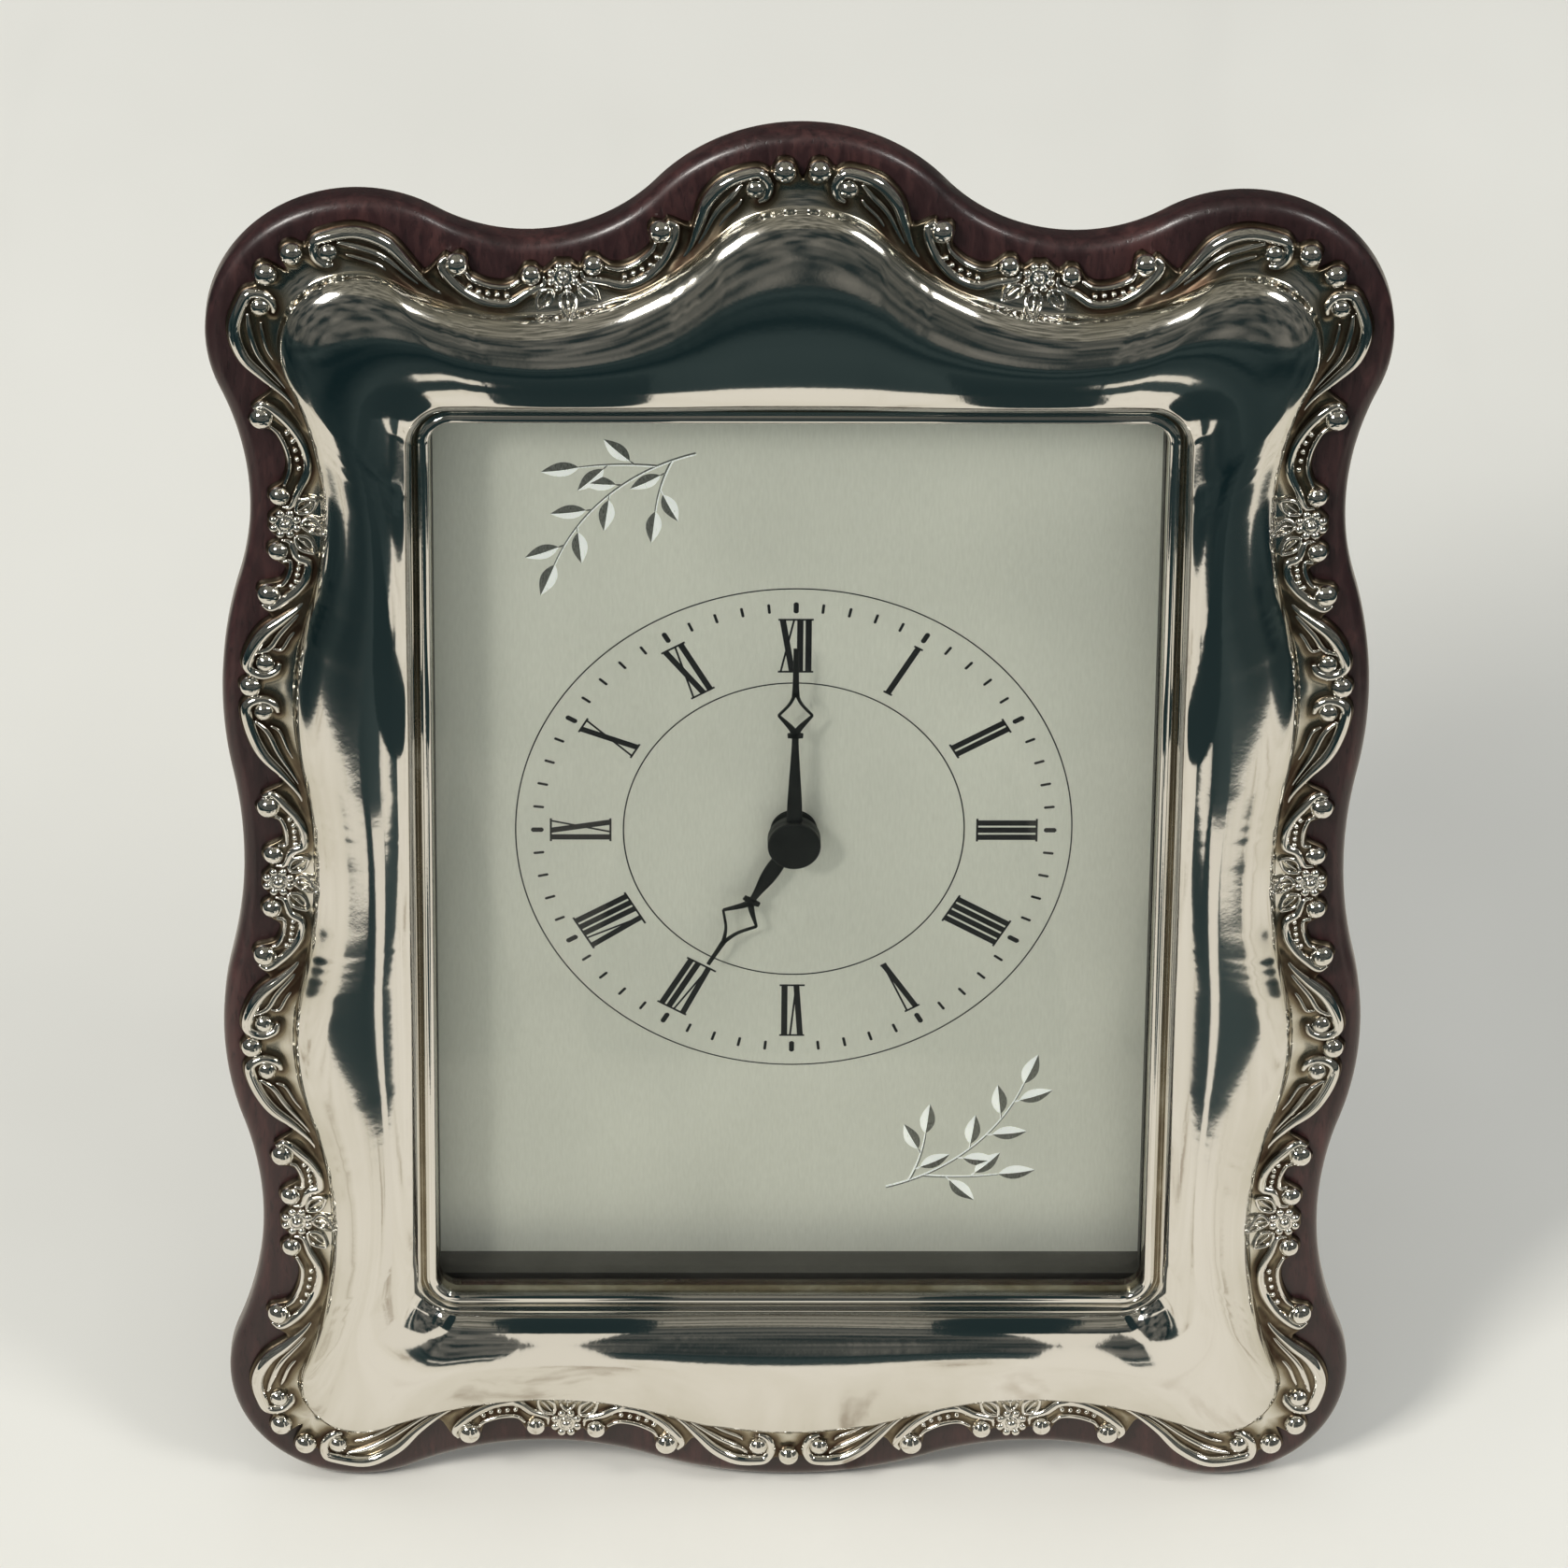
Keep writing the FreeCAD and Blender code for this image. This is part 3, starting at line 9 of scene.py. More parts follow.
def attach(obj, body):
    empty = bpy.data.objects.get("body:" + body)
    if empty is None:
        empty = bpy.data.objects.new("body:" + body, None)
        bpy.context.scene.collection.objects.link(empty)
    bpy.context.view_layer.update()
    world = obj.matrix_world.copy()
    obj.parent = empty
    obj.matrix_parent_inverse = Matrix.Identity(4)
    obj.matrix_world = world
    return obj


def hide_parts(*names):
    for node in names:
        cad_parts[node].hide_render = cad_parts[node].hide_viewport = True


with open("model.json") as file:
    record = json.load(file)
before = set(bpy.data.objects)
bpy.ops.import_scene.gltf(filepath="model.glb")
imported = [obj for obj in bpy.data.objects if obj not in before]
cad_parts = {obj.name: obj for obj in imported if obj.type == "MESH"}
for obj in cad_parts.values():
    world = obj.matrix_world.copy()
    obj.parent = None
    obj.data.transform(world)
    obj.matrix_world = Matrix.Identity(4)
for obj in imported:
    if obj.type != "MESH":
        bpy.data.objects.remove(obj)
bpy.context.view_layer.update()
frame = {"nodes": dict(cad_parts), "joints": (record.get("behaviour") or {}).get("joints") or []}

# Everything is worked out in millimetres in the clock's own face frame, x to the right, y from
# the viewer into the clock, z up the face, with the dial's centre at x = z = 0 and the front of
# the wooden board at y = 0. The joint of the minute hand says where that frame stands.
mm = 0.001
glass_front = 2.0
dial_front = 11.0
hand_joint = next(joint for joint in frame["joints"] if joint["name"] == "minute_hand_turn")
inward = Vector(hand_joint["axis"])
rightward = Vector((1, 0, 0))
upward = rightward.cross(inward)
face_origin = Vector(hand_joint["pos_m"]) - inward * (dial_front * mm)

# Outline of the board: lobes by reach and radius, valleys by radius
top_lobe_reach, top_lobe_radius = 142.6, 33.0
upper_corner_side_reach, upper_corner_top_reach, upper_corner_radius = 100.8, 130.0, 26.0
upper_bulge_reach, upper_bulge_height, upper_bulge_radius = 99.2, 33.0, 80.0
lower_bulge_reach, lower_bulge_height, lower_bulge_radius = 100.3, -35.0, 62.0
lower_corner_side_reach, lower_corner_bottom_reach, lower_corner_radius = 100.6, 130.7, 23.0
bottom_lobe_reach, bottom_lobe_radius = 130.7, 77.0
valley_radii = (29.5, 55.0, 90.0, 65.0, 58.0)

board_thickness = 6.0
arris_radius = 2.4
rear_arris_radius = 1.0
window_width, window_height, window_corner_radius = 125.4, 177.4, 3.7
rebate_width, rebate_height, rebate_corner_radius = 131.4, 183.4, 0.4

# Silver face
border_inset = 7.0
ledge_height = 1.5
dome_start_inset = 10.0
foot_run = 2.4
foot_height = 1.1
dome_height = 9.0
dome_fullness = 0.64
dome_end_outset = 3.0
flute_height = 1.9


def to_world(points):
    """Rows of face-frame millimetres as world metres."""
    points = np.asarray(points, dtype=float) * mm
    axes = np.array([rightward, inward, upward])
    return points @ axes + np.array(face_origin)


def add_object(name, data):
    piece = bpy.data.objects.new(name, data)
    bpy.context.scene.collection.objects.link(piece)
    return piece


def add_mesh(name, points, faces, smooth=True):
    """Mesh piece from face-frame millimetres."""
    mesh = bpy.data.meshes.new(name)
    mesh.from_pydata(to_world(points).tolist(), [], [tuple(face) for face in faces])
    mesh.update()
    if smooth:
        mesh.polygons.foreach_set("use_smooth", [True] * len(mesh.polygons))
    return add_object(name, mesh)


def add_values(piece, name, values):
    """Number at each point of a piece, which its material reads by name."""
    layer = piece.data.attributes.new(name, "FLOAT", "POINT")
    layer.data.foreach_set("value", values)


class Shape:
    """Points and faces gathered from many small forms, made into one mesh at the end."""

    def __init__(self):
        self.points, self.faces, self.tones = [], [], []

    def add(self, points, faces, tone=0.0):
        start = len(self.points)
        self.points += [tuple(point) for point in points]
        self.faces += [tuple(start + index for index in face) for face in faces]
        self.tones += [tone] * len(points)

    def build(self, name, smooth=True):
        piece = add_mesh(name, self.points, self.faces, smooth)
        # The tone is read by the sprigs' cut silver, where it paints facets lit and in shade.
        add_values(piece, "tone", self.tones)
        return piece


def grid_faces(rows, columns, closed_rows=False, closed_columns=True):
    """Quads of a grid of points, numbered row by row."""
    row_index = np.arange(rows if closed_rows else rows - 1)
    column_index = np.arange(columns if closed_columns else columns - 1)
    row, column = np.meshgrid(row_index, column_index, indexing="ij")
    next_row, next_column = (row + 1) % rows, (column + 1) % columns
    quads = np.stack([row * columns + column, row * columns + next_column,
                      next_row * columns + next_column, next_row * columns + column], axis=-1)
    return quads.reshape(-1, 4).tolist()


def tube_faces(rows, sides):
    """Faces of a tube of rings with flat ends."""
    last = (rows - 1) * sides
    return grid_faces(rows, sides) + [range(sides)[::-1], range(last, last + sides)]


def full_turn(count, start_share=0.0):
    """Even bearings round a circle; the first one may lie a share of a step on."""
    return [math.tau * (index + start_share) / count for index in range(count)]


def even_steps(whole, steps):
    """Even steps from 0 to a whole, with both ends."""
    return [whole * step / steps for step in range(steps + 1)]


def beside(x, z, reach, bearing):
    """Point at a reach from (x, z) in the direction of a bearing."""
    return x + reach * math.cos(bearing), z + reach * math.sin(bearing)


def lathe(profile, sides):
    """Rings of points round the dial's centre from (radius, depth) pairs."""
    return [(radius * math.cos(turn), depth, radius * math.sin(turn))
            for radius, depth in profile for turn in full_turn(sides)]


def sideways(line):
    """Unit direction across a line of (x, z, ...) at each of its points."""
    tangent = np.gradient(line[:, :2], axis=0)
    tangent /= np.maximum(np.linalg.norm(tangent, axis=1)[:, None], 1e-9)
    return np.stack([-tangent[:, 1], tangent[:, 0]], axis=1)


def smooth_path(points, steps=6):
    """Points along a smooth line through the given ones, any number of values each."""
    points = np.asarray(points, dtype=float)
    padded = np.vstack([2 * points[0] - points[1], points, 2 * points[-1] - points[-2]])
    line = []
    for index in range(len(points) - 1):
        p0, p1, p2, p3 = padded[index:index + 4]
        for step in range(steps):
            t = step / steps
            line.append(0.5 * (2 * p1 + (p2 - p0) * t + (2 * p0 - 5 * p1 + 4 * p2 - p3) * t ** 2
                               + (3 * p1 - p0 - 3 * p2 + p3) * t ** 3))
    line.append(points[-1])
    return np.array(line)


def search_tree(spots):
    """Tree that finds the nearest of some (x, z) spots."""
    tree = kdtree.KDTree(len(spots))
    for index, (x, z) in enumerate(spots):
        tree.insert((x, z, 0), index)
    tree.balance()
    return tree


def lobe_circles():
    """Centre and radius of every lobe, clockwise from the top."""
    right = [
        (upper_corner_side_reach - upper_corner_radius, upper_corner_top_reach - upper_corner_radius,
         upper_corner_radius),
        (upper_bulge_reach - upper_bulge_radius, upper_bulge_height, upper_bulge_radius),
        (lower_bulge_reach - lower_bulge_radius, lower_bulge_height, lower_bulge_radius),
        (lower_corner_side_reach - lower_corner_radius, lower_corner_radius - lower_corner_bottom_reach,
         lower_corner_radius),
    ]
    left = [(-x, z, radius) for x, z, radius in reversed(right)]
    top = (0, top_lobe_reach - top_lobe_radius, top_lobe_radius)
    bottom = (0, bottom_lobe_radius - bottom_lobe_reach, bottom_lobe_radius)
    return [top] + right + [bottom] + left


def valley_circle(first, second, radius):
    """Circle outside the board that touches two neighbouring lobes."""
    reach_1, reach_2 = first[2] + radius, second[2] + radius
    dx, dz = second[0] - first[0], second[1] - first[1]
    gap = math.hypot(dx, dz)
    along = (reach_1 ** 2 - reach_2 ** 2 + gap ** 2) / (2 * gap)
    aside = math.sqrt(reach_1 ** 2 - along ** 2)
    ux, uz = dx / gap, dz / gap
    return first[0] + ux * along - uz * aside, first[1] + uz * along + ux * aside, radius


class Border:
    """The outline as arcs, measured by arc length along the middle of the ornament."""

    def __init__(self):
        lobes = lobe_circles()
        radii = valley_radii + valley_radii[::-1]
        count = len(lobes)
        valleys = [valley_circle(lobes[index], lobes[(index + 1) % count], radii[index])
                   for index in range(count)]
        self.arcs, self.lobe_middles, self.valley_middles = [], [], []
        start = 0.0
        for index, lobe in enumerate(lobes):
            before, after = valleys[index - 1], valleys[index]
            following = lobes[(index + 1) % count]
            for circle, sign, first, last in ((lobe, 1, before, after), (after, -1, lobe, following)):
                angle = math.atan2(first[1] - circle[1], first[0] - circle[0])
                end = math.atan2(last[1] - circle[1], last[0] - circle[0])
                turn = (end - angle + math.pi) % math.tau - math.pi
                length = abs(turn) * (circle[2] - sign * border_inset)
                self.arcs.append((start, length, circle, sign, angle, turn))
                middles = self.lobe_middles if sign == 1 else self.valley_middles
                middles.append(start + length / 2)
                start += length
        self.length = start

    def at(self, along, inset):
        """Point (x, z) at a distance along the border, drawn in by the inset."""
        along = along % self.length
        for start, length, circle, sign, angle, turn in self.arcs:
            if along <= start + length:
                break
        bearing = angle + turn * (along - start) / length
        radius = circle[2] - sign * inset
        return beside(circle[0], circle[1], radius, bearing)


border = Border()
column_step = 0.36
column_count = int(border.length / column_step)
column_along = np.arange(column_count) * border.length / column_count
edge_line = np.array([border.at(along, 0) for along in column_along])
column_inward = np.array([border.at(along, 1) for along in column_along]) - edge_line


def serpentine(inset):
    """The outline drawn in by an inset, one point for each column."""
    return edge_line + column_inward * inset


rail_start = serpentine(dome_start_inset)
column_bearing = np.arctan2(rail_start[:, 1], rail_start[:, 0])
corner_spread = 6.0


def window_line(outset, width=window_width, height=window_height, radius=window_corner_radius):
    """Points of a rounded rectangle, spread outwards, in line with the columns of the border."""
    half_x, half_z = width / 2 - radius, height / 2 - radius
    middle_radius = radius + corner_spread
    shift = outset + radius - middle_radius
    points = np.zeros((column_count, 2))
    for index, bearing in enumerate(column_bearing):
        cos, sin = np.cos(bearing), np.sin(bearing)
        c, s = abs(cos), abs(sin)
        # nearest crossing of the ray with the straight sides, then with the corner circle
        side = (half_x + middle_radius) / max(c, 1e-9)
        top = (half_z + middle_radius) / max(s, 1e-9)
        if side * s <= half_z:
            base, normal = (half_x + middle_radius, side * s), (1.0, 0.0)
        elif top * c <= half_x:
            base, normal = (top * c, half_z + middle_radius), (0.0, 1.0)
        else:
            along = half_x * c + half_z * s
            aside = half_x ** 2 + half_z ** 2 - along ** 2
            reach = along + math.sqrt(max(middle_radius ** 2 - aside, 0))
            base = (reach * c, reach * s)
            normal = ((base[0] - half_x) / middle_radius, (base[1] - half_z) / middle_radius)
        points[index] = ((base[0] + normal[0] * shift) * (1 if cos >= 0 else -1),
                         (base[1] + normal[1] * shift) * (1 if sin >= 0 else -1))
    return points


def stacked(rows):
    """Grid points from rows of (line of x and z, depth or line of depths)."""
    grid = np.zeros((len(rows), column_count, 3))
    for index, (line, depth) in enumerate(rows):
        grid[index, :, 0] = line[:, 0]
        grid[index, :, 1] = depth
        grid[index, :, 2] = line[:, 1]
    return grid.reshape(-1, 3)


# Ornament of the border. Units of the right half: distance of the flower along the border from the
# nearest middle of a valley, then how far its scrolls reach towards the lobes before and after it
units_right = (
    (-1.0, 19.5, 19.0),
    (6.5, 21.5, 14.5),
    (1.5, 15.5, 15.5),
    (-3.0, 14.5, 20.5),
    (7.0, 18.0, 19.0),
)
relief_base = -ledge_height
ridge_rise_share = 1.3
bead_wrap = math.pi * 0.58
flower_inset = 6.1
button_radius, button_rise_share = 1.15, 1.25
petal_count, petal_reach, petal_radius = 8, 2.15, 0.78
petal_ring_radius, petal_ring_half = 1.35, 0.5
inner_bead_offset, inner_bead_inset, inner_bead_radius = 5.6, 5.3, 1.8
outer_bead_inset, outer_bead_radius = 5.3, 2.1
pearl_radius, pearl_rise_share = 0.55, 1.4
pearl_shares_and_insets = ((0.5, 9.15), (0.58, 9.15), (0.66, 9.15), (0.74, 9.15), (0.82, 8.6))
ribbon_foot_share = 0.86
hook_bead_radius = 1.75

# Hooks of the ribbons at each lobe from the top to the bottom: distance from the lobe's middle and
# inset, then the free beads between the hooks as (distance from the middle, inset, radius)
bead_pair = ((-2.8, 5.9, 2.05), (2.8, 5.9, 2.05))
side_bead = ((0.0, 5.0, 1.95),)
bottom_bead = ((0.0, 6.2, 1.95),)
lobe_hooks = (
    (8.3, 8.0, bead_pair),
    (8.6, 8.2, bead_pair),
    (4.9, 7.2, side_bead),
    (4.9, 7.2, side_bead),
    (8.2, 8.2, bead_pair),
    (5.6, 8.0, bottom_bead),
)

# Leaves inside each flower as (turn from inwards, reach of the root, length, half width)
flower_leaf_forms = ((0, 2.7, 4.0, 1.35), (-0.9, 3.0, 4.4, 1.3), (0.9, 3.0, 4.4, 1.3))
leaf_turn_share = 0.8
leaf_stand = 0.25
leaf_probe_shares = (0.0, 0.5, 1.0)
leaf_lean, leaf_fullness = 0.9, 0.8
leaf_rim_half, leaf_rim_taper = 0.42, 0.1
vein_shares_and_halves = ((0.12, 0.16), (0.45, 0.26), (0.8, 0.14))


def all_flowers():
    """Distance along the border and both scroll reaches of each flower, the left half mirrored."""
    right = [(middle + shift, before, after)
             for middle, (shift, before, after) in zip(border.valley_middles, units_right)]
    left = [((2 * border.lobe_middles[0] - along) % border.length, after, before)
            for along, before, after in reversed(right)]
    return right + left


class Ornament:
    """Ridges, beads and leaves that stand on the border; remembers where they are."""

    def __init__(self):
        self.scrolls, self.beads, self.leaves = Shape(), Shape(), Shape()
        self.marks = []

    def ridge(self, path, height=0.9, sides=10, shape=None, steps=7):
        """Half-round ridge along rows of (x, z, half width, lift above the border or none)."""
        line = smooth_path([(*row, 0.0)[:4] for row in path], steps)
        points = []
        for (x, z, half, lift), (ax, az) in zip(line, sideways(line)):
            for turn in full_turn(sides):
                reach = half * math.cos(turn)
                rise = height * half * math.sin(turn) * ridge_rise_share
                points.append((x + ax * reach, relief_base - lift - rise, z + az * reach))
        (shape or self.scrolls).add(points, tube_faces(len(line), sides))
        self.marks.extend((x, z, half) for x, z, half, lift in line)

    def bead(self, x, z, radius, rise_share=0.85, rings=7, sides=18):
        """Domed bead: a flattened ball sunk just past its middle in the border."""
        points = [(x, relief_base - radius * rise_share, z)]
        for turn in even_steps(bead_wrap, rings)[1:]:
            depth = relief_base - radius * rise_share * math.cos(turn)
            ring = [beside(x, z, radius * math.sin(turn), bearing) for bearing in full_turn(sides)]
            points += [(ring_x, depth, ring_z) for ring_x, ring_z in ring]
        faces = [(0, 1 + (side + 1) % sides, 1 + side) for side in range(sides)]
        faces += [[1 + index for index in face] for face in grid_faces(rings, sides)]
        faces.append(range(len(points) - sides, len(points)))
        self.beads.add(points, faces)
        self.marks.append((x, z, radius))

    def leaf(self, root, bearing, length, half_width, ground):
        """Almond leaf from its root: a raised rim and a middle vein that climb the rail."""
        ahead = np.array([math.cos(bearing), math.sin(bearing)])
        aside = np.array([-ahead[1], ahead[0]])
        levels = [relief_base - ground.depth(*(np.array(root) + ahead * (length * share)))
                  for share in leaf_probe_shares]
        climb = np.polyfit(leaf_probe_shares, levels, 2)

        def row(share, width, half):
            x, z = np.array(root) + ahead * (length * share) + aside * width
            return x, z, half, np.polyval(climb, share) + leaf_stand

        rim, shares = [], even_steps(1, steps=10)
        for side, side_shares in ((1, shares), (-1, shares[-2:0:-1])):
            for share in side_shares:
                width = side * half_width * math.sin(math.pi * share ** leaf_lean) ** leaf_fullness
                rim.append(row(share, width, leaf_rim_half - leaf_rim_taper * abs(2 * share - 1)))
        self.ridge(rim + rim[:1], height=1.0, sides=8, shape=self.leaves, steps=2)
        vein = [row(share, 0.0, half) for share, half in vein_shares_and_halves]
        self.ridge(vein, height=1.0, sides=6, shape=self.leaves, steps=3)


flowers = all_flowers()
ornament = Ornament()


def placed(rows, foot, side, run):
    """Rows of (share of the run, inset, half width, step ahead or none) as (x, z, half width)."""
    spots = []
    for share, inset, half, *ahead in rows:
        x, z = border.at(foot + side * (run * share + sum(ahead)), inset)
        spots.append((x, z, half))
    return spots


def flower(along):
    """Small round flower: a button, eight petals round it and a ring that joins them."""
    x, z = border.at(along, flower_inset)
    ornament.bead(x, z, button_radius, button_rise_share)
    for turn in full_turn(petal_count, 0.5):
        petal = beside(x, z, petal_reach, turn)
        ornament.bead(*petal, petal_radius, rise_share=1.0, rings=5, sides=12)
    ring = [(*beside(x, z, petal_ring_radius, turn), petal_ring_half) for turn in full_turn(2 * petal_count)]
    ornament.ridge(ring + ring[:1], height=0.7, sides=6)


def scroll(along, side, reach):
    """C-scroll beside a flower: two beads, a broad and a thin ridge, and pearls between them."""
    start = inner_bead_offset / reach
    broad = ((1.0 + 2.3 / reach, 4.6, 0.25), (1.0 + 2.5 / reach, 6.4, 0.7), (1.0, 8.3, 0.95),
             (0.84, 9.9, 1.0), (0.66, 10.9, 1.0), (0.48, 10.7, 0.95), (start + 0.04, 8.6, 0.8),
             (start - 2.0 / reach, 7.2, 0.5), (start - 2.3 / reach, 5.6, 0.2))
    thin = ((1.0 - 2.0 / reach, 6.2, 0.3), (0.82, 7.2, 0.4), (0.66, 7.8, 0.42), (0.5, 7.6, 0.4),
            (start + 1.9 / reach, 6.2, 0.3))
    pearls = [(*pearl, pearl_radius) for pearl in pearl_shares_and_insets]
    beads = ((start, inner_bead_inset, inner_bead_radius), (1.0, outer_bead_inset, outer_bead_radius))
    ornament.ridge(placed(broad, along, side, reach))
    ornament.ridge(placed(thin, along, side, reach), height=1.2, sides=8)
    for pearl in placed(pearls, along, side, reach):
        ornament.bead(*pearl, pearl_rise_share, rings=4, sides=10)
    for bead in placed(beads, along, side, reach):
        ornament.bead(*bead)


def ribbon(tail, head, head_inset):
    """Three ridges that run from the foot of a scroll to a hook round a bead by the lobe's middle."""
    side = 1 if head > tail else -1
    outer = ((0, 12.0, 0.15), (0.2, 10.9, 0.55), (0.4, 8.8, 0.9), (0.6, 6.4, 1.15), (0.8, 5.0, 1.15),
             (1, head_inset - 3.0, 1.05), (1, head_inset - 2.4, 0.95, 1.7),
             (1, head_inset - 0.2, 0.85, 2.5), (1, head_inset + 1.9, 0.75, 1.5),
             (1, head_inset + 2.5, 0.45, -0.2))
    middle = ((0.12, 12.3, 0.12), (0.35, 10.8, 0.4), (0.6, 8.9, 0.55), (0.8, 7.6, 0.55),
              (0.97, head_inset - 1.6, 0.3, -1.2))
    thin = ((0.22, 12.8, 0.1), (0.42, 12.0, 0.3), (0.62, 10.7, 0.38), (0.8, 9.7, 0.36),
            (0.98, head_inset + 1.0, 0.2, -2.6))
    for rows, height, sides in ((outer, 0.95, 10), (middle, 1.1, 8), (thin, 1.1, 8)):
        ornament.ridge(placed(rows, tail, side, abs(head - tail)), height, sides)
    ornament.bead(*border.at(head, head_inset), hook_bead_radius)


def lobe_ornament(index):
    """Ribbons from both neighbouring scrolls and the free beads between their hooks."""
    middle = border.lobe_middles[index]
    hook_offset, hook_inset, free_beads = lobe_hooks[min(index, len(border.lobe_middles) - index)]
    before, after = flowers[index - 1], flowers[index]
    start = before[0] + before[2] * ribbon_foot_share
    end = after[0] - after[1] * ribbon_foot_share
    if index == 0:
        start -= border.length
    ribbon(start, middle - hook_offset, hook_inset)
    ribbon(end, middle + hook_offset, hook_inset)
    for offset, inset, radius in free_beads:
        ornament.bead(*border.at(middle + offset, inset), radius)


for along, before, after in flowers:
    flower(along)
    scroll(along, -1, before)
    scroll(along, 1, after)
for index in range(len(border.lobe_middles)):
    lobe_ornament(index)

mark_tree = search_tree([(x, z) for x, z, half in ornament.marks])
marks_tried = 3


def gap_to_ornament(x, z):
    """Distance from a point of the face to the nearest ridge or bead, less its half width."""
    return min(distance - ornament.marks[index][2]
               for place, index, distance in mark_tree.find_n((x, z, 0), marks_tried))


# Silver sheet under the ornament: scalloped edge, ground that rises beside the ornament and to the
# rail's foot, rail, flute, rolled lip and wall, with rows as (outset, height), and how far tarnish
# with painted shade spreads from the ornament. The edge, flute and wall also get painted shade.
edge_insets = np.arange(2.6, 9.5, 0.12)
edge_margin = 0.45
edge_flare = 0.05
edge_round = 0.35
even_reach, even_reach_on_rail = 2, 12
ground_row_count = 26
ground_share = 0.8
ground_lift, ground_lift_reach = 0.3, 0.7
foot_lead = 1.0
dome_row_count = 36
dome_first_turn, dome_last_turn = 0.16, 0.1
flute_rows = ((2.8, 1.85), (2.55, 1.9), (2.35, 2.2))
lip_middle, lip_half_width, lip_foot, lip_rise = 1.25, 1.0, 2.4, 0.95
wall_rows = ((0.12, 1.9), (0.0, 1.0), (0.0, -1.9))
tarnish_and_shade_margin, tarnish_and_shade_reach = 0.1, 1.6
rail_tarnish_and_shade, rail_tarnish_and_shade_reach, rail_tarnish_and_shade_rows = 0.5, 2.5, 6.0
# Painted shade with tarnish: these values darken the sheet's outer edge, its flute and the wall behind the
# lip
edge_tarnish_and_shade, flute_tarnish_and_shade, wall_tarnish_and_shade = (1.0, 0.8), 0.7, 0.6


def evened(values, reach):
    """Moving average round the closed border, weighted to the middle."""
    kernel = np.array([reach + 1 - abs(step) for step in range(-reach, reach + 1)], dtype=float)
    padded = np.concatenate([values[-reach:], values, values[:reach]])
    return np.convolve(padded, kernel / kernel.sum(), "valid")


def silver_edge():
    """Inset of the silver's scalloped outer edge at each column: it keeps close to the ornament."""
    edge = np.full(column_count, edge_insets[-1])
    for index in range(column_count):
        for inset in edge_insets:
            x, z = edge_line[index] + column_inward[index] * inset
            if gap_to_ornament(x, z) < edge_margin:
                edge[index] = inset
                break
    return evened(edge, even_reach)


def ground_rows(edge):
    """Rows of (line, depth, tarnish and painted shade) from edge to rail, and the last row's gaps."""
    rows = []
    start, end = edge + edge_round, dome_start_inset + foot_run
    for share in even_steps(1, ground_row_count):
        inset = start + (end - start) * share
        line = serpentine(inset[:, None])
        gaps = evened(np.array([gap_to_ornament(x, z) for x, z in line]), even_reach)
        lift = ground_lift * np.exp(-(np.maximum(gaps, 0) / ground_lift_reach) ** 2)
        foot = np.clip((inset - dome_start_inset + foot_lead) / (foot_run + foot_lead), 0, 1)
        depth = -(ledge_height * ground_share + lift + foot_height * foot ** 2)
        # The tone is tarnish with painted shade, darkest in the hollows next to the ornament.
        rows.append((line, depth, np.exp(-(np.maximum(gaps - tarnish_and_shade_margin, 0) / tarnish_and_shade_reach))))
    return rows, gaps


def rail_rows(outer, outer_depth, gaps):
    """Rows of the domed rail from the ground's last row to the flute, darkened near the ornament by tarnish
    and painted shade.
    """
    rows = []
    inner = window_line(dome_end_outset)
    first, last = dome_first_turn, dome_last_turn
    near = rail_tarnish_and_shade * np.exp(-evened(np.maximum(gaps, 0), even_reach_on_rail) / rail_tarnish_and_shade_reach)
    for row in range(1, dome_row_count + 1):
        share = row / dome_row_count
        turn = first + (math.pi - first - last) * share
        low = (math.cos(first) - math.cos(turn)) / (math.cos(first) + math.cos(last))
        arch = math.sin(turn) - math.sin(first) * (1 - share) - math.sin(last) * share
        foot = outer_depth * (1 - low) - flute_height * low
        depth = foot - (dome_height + foot) * np.clip(arch, 0, 1) ** dome_fullness
        rows.append((outer + (inner - outer) * low, depth, near * math.exp(-row / rail_tarnish_and_shade_rows)))
    return rows


def lip_rows():
    """Rows of the flute, the rolled lip and the wall behind it."""
    flute = [(window_line(outset), -height, flute_tarnish_and_shade) for outset, height in flute_rows]
    lip = [(window_line(lip_middle + lip_half_width * math.cos(turn)),
            -(lip_foot + lip_rise * math.sin(turn)), 0.0) for turn in even_steps(math.pi, steps=8)]
    wall = [(window_line(outset), -height, wall_tarnish_and_shade) for outset, height in wall_rows]
    return flute + lip + wall


def silver_sheet():
    """Pressed sheet of the face, and the lines and depths of its ground and rail."""
    edge = silver_edge()
    rows = [(serpentine((edge - edge_flare)[:, None]), 0.0, edge_tarnish_and_shade[0]),
            (serpentine(edge[:, None]), -0.5 * ledge_height, edge_tarnish_and_shade[1])]
    flat, gaps = ground_rows(edge)
    rail = rail_rows(flat[-1][0], flat[-1][1], gaps)
    rows += flat + rail + lip_rows()
    points = stacked([(line, depth) for line, depth, tone in rows])
    piece = add_mesh("silver_relief", points, grid_faces(len(rows), column_count))
    tones = [np.broadcast_to(tone, (column_count,)) for line, depth, tone in rows]
    add_values(piece, "tarnish_and_shade", np.concatenate(tones).astype(np.float32))
    return piece, [(line, depth) for line, depth, tone in flat + rail[:-1]]


